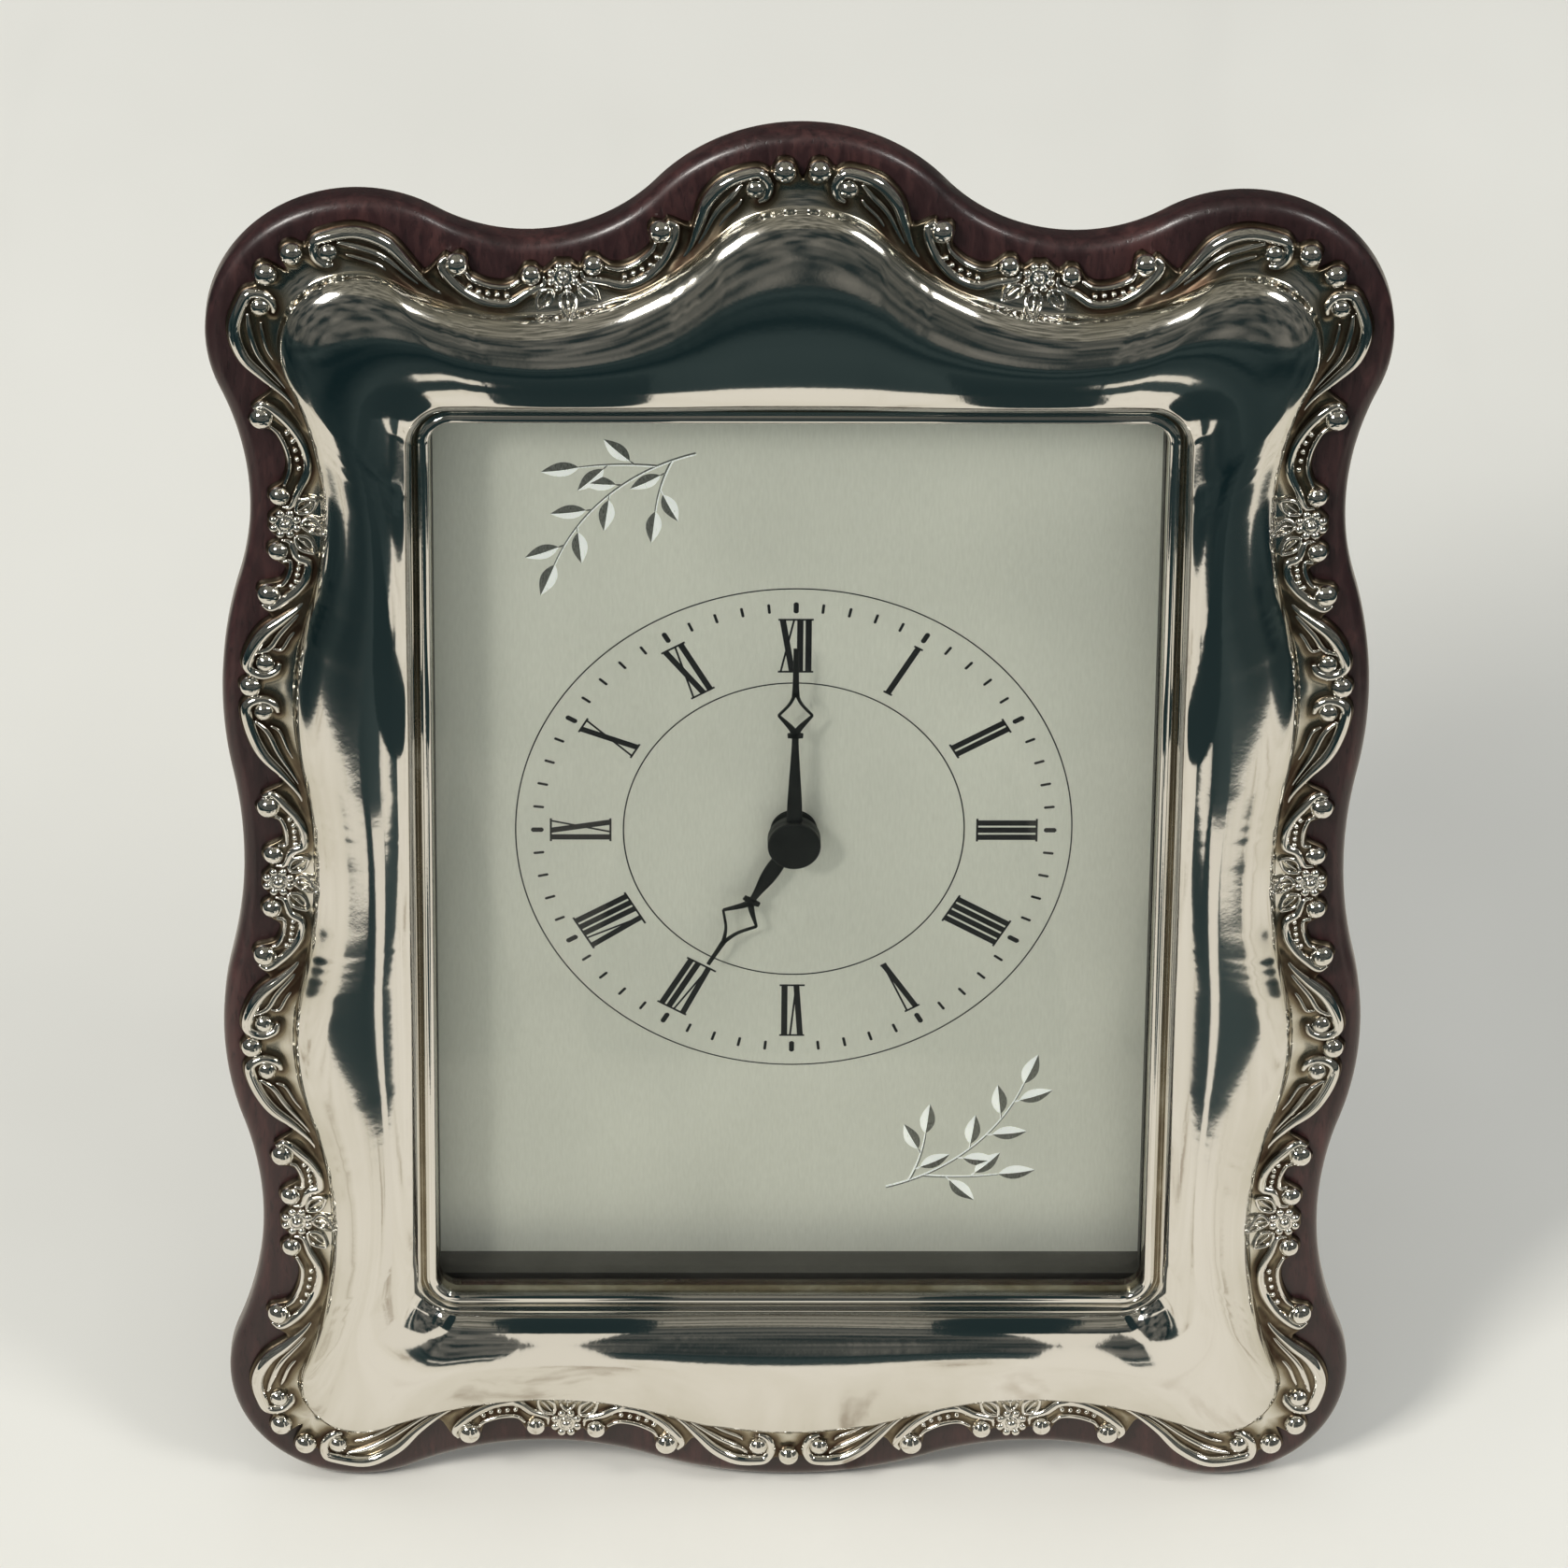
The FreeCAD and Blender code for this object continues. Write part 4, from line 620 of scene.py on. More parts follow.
class Ground:
    """Depth of the pressed sheet at any point of its border and rail."""

    def __init__(self, rows):
        lines, depths = zip(*rows)
        self.lines, self.depths = np.stack(lines), np.stack(depths)
        self.tree = search_tree(self.lines.reshape(-1, 2))

    def depth(self, x, z):
        place, index, distance = self.tree.find((x, z, 0))
        column = index % column_count
        line = self.lines[:, column]
        run = line[-1] - line[0]
        reach = (np.array([x, z]) - line[0]) @ run
        return np.interp(reach, (line - line[0]) @ run, self.depths[:, column])


def flower_leaves(along, ground):
    """Three almond leaves on the inner side of a flower."""
    x, z = border.at(along, flower_inset)
    inner = np.array(border.at(along, flower_inset + 1)) - np.array([x, z])
    bearing = math.atan2(inner[1], inner[0])
    for spread, root, length, half in flower_leaf_forms:
        start = beside(x, z, root, bearing + spread)
        ornament.leaf(start, bearing + spread * leaf_turn_share, length, half, ground)


def wooden_board():
    """Serpentine board with rounded arrises, the window and the rebate cut behind it."""
    turns = even_steps(math.pi / 2, steps=8)
    rows = [(serpentine(rear_arris_radius * (1 - math.sin(turn))),
             board_thickness - rear_arris_radius * (1 - math.cos(turn))) for turn in turns]
    rows += [(serpentine(arris_radius * (1 - math.cos(turn))), arris_radius * (1 - math.sin(turn)))
             for turn in turns]
    rebate = window_line(0, rebate_width, rebate_height, rebate_corner_radius)
    rows += [(rail_start, 0), (window_line(0), 0), (window_line(0), glass_front),
             (rebate, glass_front), (rebate, board_thickness)]
    piece = add_mesh("serpentine_board", stacked(rows),
                     grid_faces(len(rows), column_count, closed_rows=True))
    # its foot stands on the table and doesn't pass through it
    for vertex in piece.data.vertices:
        vertex.co.z = max(vertex.co.z, 0.0)
    return piece


# Dial: printed rings, marks and numerals, and engraved sprigs
ring_outer_radius = 48.8
ring_inner_radius = 29.9
ring_width = 0.24
ring_sides = 240
marks_radius = 45.0
hour_mark_halves, minute_mark_halves = (0.45, 1.1), (0.25, 0.95)
mark_clip_share = 0.6
degrees_per_minute, degrees_per_hour = 6, 30
numeral_middle_radius = 37.4
numeral_height = 10.8
numerals = ("XII", "I", "II", "III", "IIII", "V", "VI", "VII", "VIII", "IX", "X", "XI")
stroke_step = 0.002
serif_overhang, serif_thickness, serif_step = 0.14, 0.36, 0.012
pointed_serif_half = 0.6
print_lift = 0.03
print_level = dial_front - print_lift

# Letters of the numerals: width, then strokes as (across at foot, across at top, half width)
letters = {
    "I": (1.46, ((0.73, 0.73, 0.54),)),
    "V": (2.7, ((1.35, 0.6, 0.52), (1.35, 2.4, 0.17))),
    "X": (2.95, ((2.35, 0.6, 0.54), (0.3, 2.65, 0.18))),
}

# Sprigs as (x, z, heading); twigs as (turn, length, bend, shares where leaves grow, size of leaves),
# the short ones after the step of the long one that they leave
sprig_places = ((-17.5, 75.5, math.pi), (17.2, -74.8, 0.0))
long_twig = (0.24, 34.0, 0.95, (0.42, 0.52, 0.64, 0.74, 0.86), 1.0)
short_twigs = ((5, -0.55, 13.5, 0.25, (0.3, 0.62), 1.0), (3, 0.75, 10.5, 0.35, (0.25, 0.6), 0.95))
twig_half, twig_taper, twig_rise = 0.3, 0.12, 0.06
stalk_reach, stalk_length, stalk_half, stalk_spread = 1.1, 1.3, 0.16, 0.72
side_leaf_length, side_leaf_half = 6.2, 1.35
end_leaf_length, end_leaf_half = 6.6, 1.4
cut_leaf_lean, cut_leaf_rise, cut_leaf_least = 0.85, 0.3, 0.02


def ring_band(shape, radius):
    profile = [(radius + side * ring_width / 2, print_level) for side in (-1, 1)]
    shape.add(lathe(profile, ring_sides), grid_faces(2, ring_sides))


def bar(shape, bearing, radius, depth, corners):
    """Flat polygon from (across, out) corners, at a clockwise bearing in degrees from 12 o'clock."""
    turn = math.radians(bearing)
    points = []
    for across, out in corners:
        reach = radius + out
        points.append((reach * math.sin(turn) + across * math.cos(turn), depth,
                       reach * math.cos(turn) - across * math.sin(turn)))
    shape.add(points, [range(len(points))])


def numeral_strokes(text):
    """Strokes of a numeral about its middle, and its full width."""
    total = sum(letters[letter][0] for letter in text)
    strokes, at = [], -total / 2
    for letter in text:
        width, forms = letters[letter]
        strokes += [(at + low, at + high, half) for low, high, half in forms]
        at += width
    return strokes, total


def minute_mark(shape, bearing, half, reach):
    """Short dash with clipped corners."""
    clip = half * mark_clip_share
    corners = [(-half, clip - reach), (-half + clip, -reach), (half - clip, -reach), (half, clip - reach),
               (half, reach - clip), (half - clip, reach), (-half + clip, reach), (-half, reach - clip)]
    bar(shape, bearing, marks_radius, print_level, corners)


def numeral(shape, bearing, text):
    """Strokes of a numeral, each a little above the last, and a serif line at its top and foot."""
    top, foot = numeral_height / 2, -numeral_height / 2
    strokes, width = numeral_strokes(text)
    for layer, (low, high, half) in enumerate(strokes):
        corners = [(low - half, foot), (low + half, foot), (high + half, top), (high - half, top)]
        bar(shape, bearing, numeral_middle_radius, print_level - stroke_step * layer, corners)
    for edge, inner in ((top, top - serif_thickness), (foot, foot + serif_thickness)):
        pointed = edge == foot and text == "V"
        half = pointed_serif_half if pointed else width / 2 + serif_overhang
        corners = [(-half, edge), (half, edge), (half, inner), (-half, inner)]
        bar(shape, bearing, numeral_middle_radius, print_level - serif_step, corners)


def dial_print():
    """Two rings, minute marks and Roman numerals, printed just proud of the plate."""
    shape = Shape()
    ring_band(shape, ring_outer_radius)
    ring_band(shape, ring_inner_radius)
    for minute in range(60):
        halves = minute_mark_halves if minute % 5 else hour_mark_halves
        minute_mark(shape, minute * degrees_per_minute, *halves)
    for hour, text in enumerate(numerals):
        numeral(shape, hour * degrees_per_hour, text)
    return shape.build("dial_print", smooth=False)


def facet(shape, first, second, tone):
    """Open band between two lines of points, with a tone of 1 for painted light and 0 for painted shade."""
    shape.add(first + second, grid_faces(2, len(first), closed_columns=False), tone)


def cut_leaf(shape, x, z, heading, length, half):
    """Almond leaf of two facets that meet on its spine, one painted lit with a painted highlight and one
    painted in shade.
    """
    # the first facet is painted lit, the second painted in shade
    for side, tone in ((1, 1.0), (-1, 0.0)):
        spine, rim = [], []
        for share in even_steps(1, steps=9):
            width = side * (half * math.sin(math.pi * share ** cut_leaf_lean) + cut_leaf_least)
            cx, cz = beside(x, z, length * share, heading)
            spine.append((cx, print_level - cut_leaf_rise * math.sin(math.pi * share), cz))
            rim.append((cx - width * math.sin(heading), print_level, cz + width * math.cos(heading)))
        facet(shape, spine, rim, tone)


def twig(shape, x, z, heading, run, bend, leaf_shares, size):
    """Thin bent stem with leaves to its left and right in turn and one at its end."""
    steps = 24
    left, middle, right, line = [], [], [], []
    for taper in even_steps(twig_taper, steps):
        half = twig_half - taper
        left.append((x - half * math.sin(heading), print_level, z + half * math.cos(heading)))
        middle.append((x, print_level - twig_rise, z))
        right.append((x + half * math.sin(heading), print_level, z - half * math.cos(heading)))
        line.append((x, z, heading))
        heading += bend / steps
        x, z = beside(x, z, run / steps, heading)
    # one half of the stem is painted lit, the other painted in shade
    facet(shape, left, middle, 1.0)
    facet(shape, middle, right, 0.0)
    for index, share in enumerate(leaf_shares):
        px, pz, turn = line[round(share * steps)]
        spread = turn + (stalk_spread if index % 2 else -stalk_spread)
        root = beside(px, pz, stalk_reach, spread)
        cut_leaf(shape, px, pz, spread, stalk_length, stalk_half)
        cut_leaf(shape, *root, spread, side_leaf_length * size, side_leaf_half * size)
    cut_leaf(shape, *line[-1], end_leaf_length * size, end_leaf_half * size)
    return line


def sprigs():
    """Two sprigs, each a long twig with two short ones near its root."""
    shape = Shape()
    for x, z, heading in sprig_places:
        turn, *form = long_twig
        line = twig(shape, x, z, heading + turn, *form)
        for step, turn, *form in short_twigs:
            x, z, heading = line[step]
            twig(shape, x, z, heading + turn, *form)
    return shape.build("dial_sprigs", smooth=False)


# Hands: bearing in degrees, then reaches from the arbor of the collar, of the open diamond's
# corners and top and of the tip, and rows of (reach, half width) for the stem
hub_radius, hub_bevel, hub_sides = 4.65, 0.25, 72
hand_thickness = 0.4
minute_lift = 4.4
cap_height = 1.1
cap_middle_radius = 1.0
cap_edge = ((0.0, 0.3), (0.12, 0.1), (0.4, 0.0))
strip_bevel_share, strip_flat_share = 0.3, 0.82
collar_share, collar_rise, collar_end_half, collar_middle_half = 0.46, 0.1, 0.42, 0.66
diamond_root_rise, diamond_root_half, diamond_corner_stroke, diamond_top_half = 0.3, 0.62, 0.22, 0.36
lower_hollow_shares, lower_hollow_half = (0.3, 0.42), 0.5
upper_hollow_shares, upper_hollow_half = (0.34, 0.5), 0.26
tip_overlap, tip_waist_rise, tip_waist_share, tip_end_share = 0.9, 1.6, 0.8, 0.66
hour_form = dict(
    lift=3.0, hub_depth=1.34, bore=2.5, bearing=210, knob=14.7, corner=18.8, diamond_top=24.6,
    reach=29.8, corner_half=3.4, tip_half=0.5,
    stem=((3.9, 1.1), (6.6, 1.42), (9.4, 1.3), (12.4, 0.78), (14.7, 0.5)))
minute_form = dict(
    lift=minute_lift, hub_depth=hand_thickness, bore=1.6, bearing=0, knob=21.9, corner=26.0,
    diamond_top=30.7, reach=39.4, corner_half=2.95, tip_half=0.7,
    stem=((3.9, 1.4), (9.0, 1.24), (15.5, 0.86), (20.0, 0.62), (22.2, 0.6)))


def strip(shape, path, y0, y1):
    """Flat bar with bevelled edges along rows of (x, z, half width)."""
    line = smooth_path(path)
    flat, bevel = strip_flat_share, (y1 - y0) * strip_bevel_share
    section = ((-1, y1), (-1, y0 + bevel), (-flat, y0), (flat, y0), (1, y0 + bevel), (1, y1))
    points = [(x + ax * half * share, y, z + az * half * share)
              for (x, z, half), (ax, az) in zip(line, sideways(line)) for share, y in section]
    shape.add(points, tube_faces(len(line), len(section)))


def hub(shape, bore, y0, y1):
    """Thick flat ring with a rounded front edge."""
    profile = [(bore, y1), (bore, y0)]
    for turn in even_steps(math.pi / 2, steps=3):
        profile.append((hub_radius - hub_bevel + hub_bevel * math.sin(turn),
                        y0 + hub_bevel - hub_bevel * math.cos(turn)))
    profile.append((hub_radius, y1))
    shape.add(lathe(profile, hub_sides), grid_faces(len(profile), hub_sides, closed_rows=True))


def hand_cap():
    """Flat round cap that covers the end of the arbor."""
    shape = Shape()
    back = dial_front - minute_lift - hand_thickness
    front = back - cap_height
    rings = [(hub_radius, back)] + [(hub_radius - inset, front + set_back) for inset, set_back in cap_edge]
    rings.append((cap_middle_radius, front))
    points = lathe(rings, hub_sides)
    ends = [range(hub_sides), range(len(points) - hub_sides, len(points))[::-1]]
    shape.add(points, grid_faces(len(rings), hub_sides) + ends)
    return shape.build("hand_cap", smooth=False)


def turned(points, bearing):
    """Hand drawn along +z, turned clockwise by the bearing."""
    turn = math.radians(bearing)
    cos, sin = math.cos(turn), math.sin(turn)
    return [(x * cos + z * sin, y, -x * sin + z * cos) for x, y, z in points]


def hand(name, lift, hub_depth, bore, bearing, knob, corner, diamond_top, reach, corner_half, tip_half, stem):
    """Hub, stem, little collar, open diamond with hollow sides and a slender tip."""
    shape = Shape()
    back = dial_front - lift
    hub(shape, bore, back - hub_depth, back)
    collar = corner_half * collar_share
    paths = [[(0, z, half) for z, half in stem],
             [(-collar, knob, collar_end_half), (0, knob + collar_rise, collar_middle_half),
              (collar, knob, collar_end_half)]]
    for side in (-corner_half, corner_half):
        low_x, low_z = side * lower_hollow_shares[0], (corner - knob) * lower_hollow_shares[1]
        high_x, high_z = side * upper_hollow_shares[0], (diamond_top - corner) * upper_hollow_shares[1]
        paths.append([(0, knob + diamond_root_rise, diamond_root_half),
                      (low_x, knob + low_z, lower_hollow_half), (side, corner, diamond_corner_stroke)])
        paths.append([(side, corner, diamond_corner_stroke), (high_x, corner + high_z, upper_hollow_half),
                      (0, diamond_top, diamond_top_half)])
    paths.append([(0, diamond_top - tip_overlap, tip_half),
                  (0, diamond_top + tip_waist_rise, tip_half * tip_waist_share),
                  (0, reach, tip_half * tip_end_share)])
    for path in paths:
        strip(shape, path, back - hand_thickness, back)
    shape.points = turned(shape.points, bearing)
    return shape.build(name, smooth=False)


class Finish:
    """A material with its shader, and short ways to add and join nodes."""

    def __init__(self, name, **values):
        self.material = bpy.data.materials.new(name)
        self.material.use_nodes = True
        self.tree = self.material.node_tree
        self.shader = self.tree.nodes["Principled BSDF"]
        self.set(**values)
        self.place = self.node("ShaderNodeTexCoord").outputs["Object"]

    def feed(self, socket, value):
        """Gives a socket another node's output, or a value of its own."""
        if isinstance(value, bpy.types.NodeSocket):
            self.tree.links.new(value, socket)
        elif socket.type == "RGBA":
            socket.default_value = (*value, 1)
        else:
            socket.default_value = value

    def node(self, kind, inputs=None, **values):
        """New node with its settings, and its inputs by name or number."""
        node = self.tree.nodes.new(kind)
        for key, value in values.items():
            setattr(node, key, value)
        for key, value in (inputs or {}).items():
            self.feed(node.inputs[key], value)
        return node

    def set(self, **inputs):
        """Inputs of the shader by their names, with _ for a space."""
        for key, value in inputs.items():
            self.feed(self.shader.inputs[key.replace("_", " ")], value)

    def surface(self, output):
        """Another surface in place of the shader."""
        self.tree.nodes.remove(self.shader)
        self.feed(self.tree.nodes["Material Output"].inputs["Surface"], output)

    def stretched(self, scale, turn=(0, 0, 0)):
        """Object coordinates turned and scaled."""
        inputs = {"Vector": self.place, "Rotation": turn, "Scale": scale}
        return self.node("ShaderNodeMapping", inputs, vector_type="POINT").outputs["Vector"]

    def noise(self, place, scale, detail, roughness=0.5, distortion=0.0):
        inputs = {"Vector": place, "Scale": scale, "Detail": detail, "Roughness": roughness,
                  "Distortion": distortion}
        return self.node("ShaderNodeTexNoise", inputs).outputs["Fac"]

    def ramp(self, factor, stops):
        """Colour by the factor, from (position, colour) stops."""
        ramp = self.node("ShaderNodeValToRGB", {"Fac": factor})
        elements = ramp.color_ramp.elements
        while len(elements) < len(stops):
            elements.new(0.5)
        for element, (position, colour) in zip(elements, stops):
            element.position = position
            element.color = (*colour, 1)
        return ramp.outputs["Color"]

    def scaled(self, value, low, high, new_low, new_high):
        inputs = {"Value": value, "From Min": low, "From Max": high, "To Min": new_low, "To Max": new_high}
        return self.node("ShaderNodeMapRange", inputs).outputs["Result"]

    def maths(self, operation, first, second, clamp=False):
        node = self.node("ShaderNodeMath", {0: first, 1: second}, operation=operation, use_clamp=clamp)
        return node.outputs["Value"]

    def mixed(self, factor, first, second):
        inputs = {"Factor": factor, 6: first, 7: second}
        return self.node("ShaderNodeMix", inputs, data_type="RGBA").outputs[2]

    def attribute(self, name):
        return self.node("ShaderNodeAttribute", attribute_name=name).outputs["Fac"]

    def bump(self, height, strength, distance):
        node = self.node("ShaderNodeBump", {"Strength": strength, "Distance": distance, "Height": height})
        self.set(Normal=node.outputs["Normal"])


lean = math.asin(-inward.z)
face_turn = (lean, 0, 0)


def silver_finish(relief):
    """Bright plated silver; on the relief, brown tarnish and painted shade lie in the hollows of the
    ornament, at the sheet's edge, in the flute and on the wall.
    """
    finish = Finish("silver_relief" if relief else "silver_bright", Metallic=1.0)
    bright, dull = (0.86, 0.85, 0.82), (0.66, 0.64, 0.56)
    brown, black = (0.27, 0.23, 0.16), (0.07, 0.045, 0.03)
    cloud = finish.noise(finish.place, 90, 5, 0.6)
    fine = finish.noise(finish.place, 900, 3)
    # On the relief this is tarnish with painted shade from the sheet's values; on the bright silver, random
    # tarnish only.
    tarnish_and_shade = finish.attribute("tarnish_and_shade") if relief else finish.scaled(cloud, 0.4, 0.9, 0.02, 0.12)
    spread = finish.maths("MULTIPLY", tarnish_and_shade, finish.scaled(cloud, 0.25, 0.7, 0.65, 1.15), clamp=True)
    finish.set(Base_Color=finish.ramp(spread, ((0.0, bright), (0.25, dull), (0.6, brown), (1.0, black))),
               Roughness=finish.scaled(spread, 0, 1, 0.07, 0.38))
    height = finish.maths("ADD", finish.maths("MULTIPLY", cloud, 0.4), finish.maths("MULTIPLY", fine, 0.1))
    finish.bump(height, 0.12, 0.0004)
    return finish.material


def wood_finish(name, dark, mid, light, rough, coat):
    """Straight-grained wood with pores, under a thin polish."""
    finish = Finish(name, Coat_Weight=coat, Coat_Roughness=0.18)
    long_grain = finish.stretched((1, 1, 0.045), face_turn)
    grain = finish.noise(long_grain, 420, 6, 0.65, 0.6)
    bands = finish.noise(long_grain, 60, 3, 0.5, 0.4)
    pores = finish.noise(finish.stretched((1, 1, 0.09), face_turn), 1500, 2)
    tone = finish.maths("ADD", finish.maths("MULTIPLY", grain, 0.6), finish.maths("MULTIPLY", bands, 0.45))
    colour = finish.ramp(tone, ((0.3, dark), (0.52, mid), (0.75, light)))
    pore_mask = finish.scaled(pores, 0.3, 0.42, 1.0, 0.0)
    darkening = finish.maths("MULTIPLY", pore_mask, 0.55, clamp=True)
    finish.set(Base_Color=finish.mixed(darkening, colour, dark),
               Roughness=finish.scaled(grain, 0.3, 0.7, rough - 0.06, rough + 0.08))
    finish.bump(finish.maths("SUBTRACT", grain, finish.maths("MULTIPLY", pore_mask, 0.5)), 0.18, 0.0003)
    return finish.material


def dial_finish():
    """Satin plate, brushed from top to bottom."""
    finish = Finish("dial_satin", Metallic=0.1)
    shaded, lit, clouded = (0.86, 0.83, 0.73), (0.95, 0.92, 0.82), (0.77, 0.74, 0.66)
    brush = finish.noise(finish.stretched((1, 1, 0.02), face_turn), 2600, 3, 0.6)
    cloud = finish.scaled(finish.noise(finish.place, 25, 2), 0.3, 0.7, 0.0, 0.14)
    colour = finish.ramp(brush, ((0.25, shaded), (0.75, lit)))
    finish.set(Base_Color=finish.mixed(cloud, colour, clouded),
               Roughness=finish.scaled(brush, 0.3, 0.7, 0.40, 0.52))
    finish.bump(brush, 0.1, 0.0002)
    return finish.material


def sprig_painted_light_finish():
    """Bright cut silver with fine hatching; each leaf has one facet painted lit, glowing as a painted
    highlight, and one facet painted in shade.
    """
    # The emission is a painted glow on the lit facets; nothing here is a lamp.
    finish = Finish("cut_silver_painted_light", Metallic=0.35, Emission_Strength=0.34)
    dull, bright, unlit, painted_glint = (0.20, 0.20, 0.18), (1.0, 1.0, 0.97), (0, 0, 0), (1.0, 1.0, 0.96)
    hatch = finish.noise(finish.stretched((1, 1, 0.25), (0.4, 0.6, 0.8)), 5200, 2)
    hatching = finish.scaled(hatch, 0.3, 0.7, -0.22, 0.22)
    # tone 1 gives the painted highlight colour and glow, tone 0 the painted shade colour
    tone = finish.maths("ADD", finish.attribute("tone"), hatching, clamp=True)
    finish.set(Base_Color=finish.ramp(tone, ((0.1, dull), (0.8, bright))),
               Emission_Color=finish.ramp(tone, ((0.5, unlit), (0.85, painted_glint))),
               Roughness=finish.scaled(hatch, 0.3, 0.7, 0.22, 0.4))
    finish.bump(hatch, 0.25, 0.0001)
    return finish.material


def plain_finish(name, colour, rough, metallic=0.0, grain_scale=1200, grain_strength=0.12, spread=0.15):
    """Moulded, painted or plated surface with a fine grain and slight wear in its tone."""
    finish = Finish(name, Metallic=metallic)
    grain = finish.noise(finish.place, grain_scale, 3)
    cloud = finish.noise(finish.place, grain_scale / 12, 4, 0.6)
    light = tuple(min(value * (1 + spread) + 0.004, 1) for value in colour)
    dark = tuple(value * (1 - spread) for value in colour)
    finish.set(Base_Color=finish.ramp(cloud, ((0.3, dark), (0.7, light))),
               Roughness=finish.scaled(grain, 0.3, 0.7, max(rough - 0.05, 0.02), rough + 0.06))
    finish.bump(grain, grain_strength, 0.0002)
    return finish.material


def glass_finish():
    """Clear pane: see-through, with a faint reflection that grows at a slant."""
    finish = Finish("clear_glass")
    clear = finish.node("ShaderNodeBsdfTransparent", {"Color": (0.97, 0.985, 0.975)})
    gloss = finish.node("ShaderNodeBsdfGlossy", {"Roughness": 0.02})
    slant = finish.node("ShaderNodeFresnel", {"IOR": 1.3})
    smear = finish.scaled(finish.noise(finish.place, 30, 3), 0.3, 0.7, 0.7, 1.0)
    share = finish.maths("MULTIPLY", slant.outputs["Fac"], smear)
    surfaces = {"Fac": share, 1: clear.outputs["BSDF"], 2: gloss.outputs["BSDF"]}
    finish.surface(finish.node("ShaderNodeMixShader", surfaces).outputs["Shader"])
    return finish.material


def glow(name, stops, scale, detail=2, roughness=0.5, distortion=0.3, stretch=(1, 1, 1)):
    """Colour of a card, the same from every side, that drifts softly between its tones."""
    finish = Finish(name)
    tone = finish.noise(finish.stretched(stretch), scale, detail, roughness, distortion)
    emission = finish.node("ShaderNodeEmission", {"Color": finish.ramp(tone, stops)})
    finish.surface(emission.outputs["Emission"])
    return finish.material


def dress(piece, material, body, replaced=None):
    """Gives a piece its material and slot, the body it moves with and the node it stands in for."""
    piece.data.materials.clear()
    piece.data.materials.append(material)
    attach(piece, body)
    if replaced:
        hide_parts(replaced)


mahogany_tones = ((0.009, 0.004, 0.005), (0.028, 0.010, 0.011), (0.076, 0.026, 0.024))
backing_tones = ((0.012, 0.007, 0.006), (0.026, 0.014, 0.010), (0.05, 0.027, 0.018))
pale_board_tones = ((0.16, 0.11, 0.06), (0.26, 0.18, 0.11), (0.36, 0.27, 0.17))
relief_silver = silver_finish(True)
bright_silver = silver_finish(False)
mahogany = wood_finish("mahogany", *mahogany_tones, rough=0.38, coat=0.35)
backing = wood_finish("back_stain", *backing_tones, rough=0.5, coat=0.15)
pale_board = wood_finish("backing_board", *pale_board_tones, rough=0.7, coat=0.0)
satin = dial_finish()
cut_silver_painted_light = sprig_painted_light_finish()
glass = glass_finish()

# Plain finishes as (colour, roughness, metallic, scale and strength of the grain, spread of the tone)
plain_looks = {
    "dark_mount": ((0.085, 0.080, 0.072), 0.6),
    "print_black": ((0.018, 0.018, 0.020), 0.45),
    "black_lacquer": ((0.014, 0.015, 0.015), 0.5, 0, 2400, 0.04),
    "brass": ((0.62, 0.45, 0.20), 0.26, 1.0, 700, 0.1, 0.12),
    "steel": ((0.55, 0.55, 0.54), 0.3, 1.0, 800, 0.1, 0.12),
    "black_plastic": ((0.018, 0.018, 0.019), 0.46, 0, 1600, 0.25),
    "white_plastic": ((0.72, 0.71, 0.67), 0.4),
    "copper_wire": ((0.62, 0.26, 0.12), 0.3, 1.0),
    "rubber": ((0.02, 0.02, 0.02), 0.75),
    "circuit_green": ((0.02, 0.14, 0.06), 0.4),
    "cell_case": ((0.30, 0.30, 0.31), 0.34, 0.6),
}
plain = {name: plain_finish(name, *look) for name, look in plain_looks.items()}
lacquer = plain["black_lacquer"]

relief, ground_lines = silver_sheet()
dress(relief, relief_silver, "frame", "silver_face")
ground = Ground(ground_lines)
for along, before, after in flowers:
    flower_leaves(along, ground)
for shape, name in ((ornament.scrolls, "silver_scrolls"), (ornament.beads, "silver_beads"),
                    (ornament.leaves, "silver_leaves")):
    dress(shape.build(name), bright_silver, "frame")
dress(wooden_board(), mahogany, "frame", "front_board")
dress(dial_print(), plain["print_black"], "frame")
dress(sprigs(), cut_silver_painted_light, "frame")
dress(hand("hour_hand_open", **hour_form), lacquer, "hour_wheel", "hour_hand")
dress(hand("minute_hand_open", **minute_form), lacquer, "minute_arbor", "minute_hand")
dress(hand_cap(), lacquer, "minute_arbor", "hand_nut")

# The frame's own nodes take the finish of their slot, three of them one of their own
slot_materials = {
    "silver": bright_silver, "mahogany": mahogany, "clear_glass": glass, "dial_silver": satin,
    "backing_board": pale_board, "back_stain": backing, **plain,
}
node_materials = {
    "fixing_bush": lacquer, "train_plate": plain["white_plastic"], "coil_bobbin": plain["white_plastic"],
}
for name, node in frame["nodes"].items():
    for slot in node.material_slots:
        given = slot.material.name.split(".")[0] if slot.material else ""
        slot.material = node_materials.get(name) or slot_materials.get(given) or slot.material


def studio_sheet(name, points, *materials, faces=None):
    """Sheet of the studio through world points in metres, of one face if none are given."""
    mesh = bpy.data.meshes.new(name)
    mesh.from_pydata(points, [], [tuple(face) for face in faces or [range(len(points))]])
    for material in materials:
        mesh.materials.append(material)
    sheet = add_object(name, mesh)
    return sheet


def mirrored_sheet(name, points, *materials, faces=None):
    """Sheet that only mirrors catch: it throws no light or shade and the camera sees past it."""
    sheet = studio_sheet(name, points, *materials, faces=faces)
    for ray in ("camera", "diffuse", "transmission", "shadow"):
        setattr(sheet, "visible_" + ray, False)
    return sheet


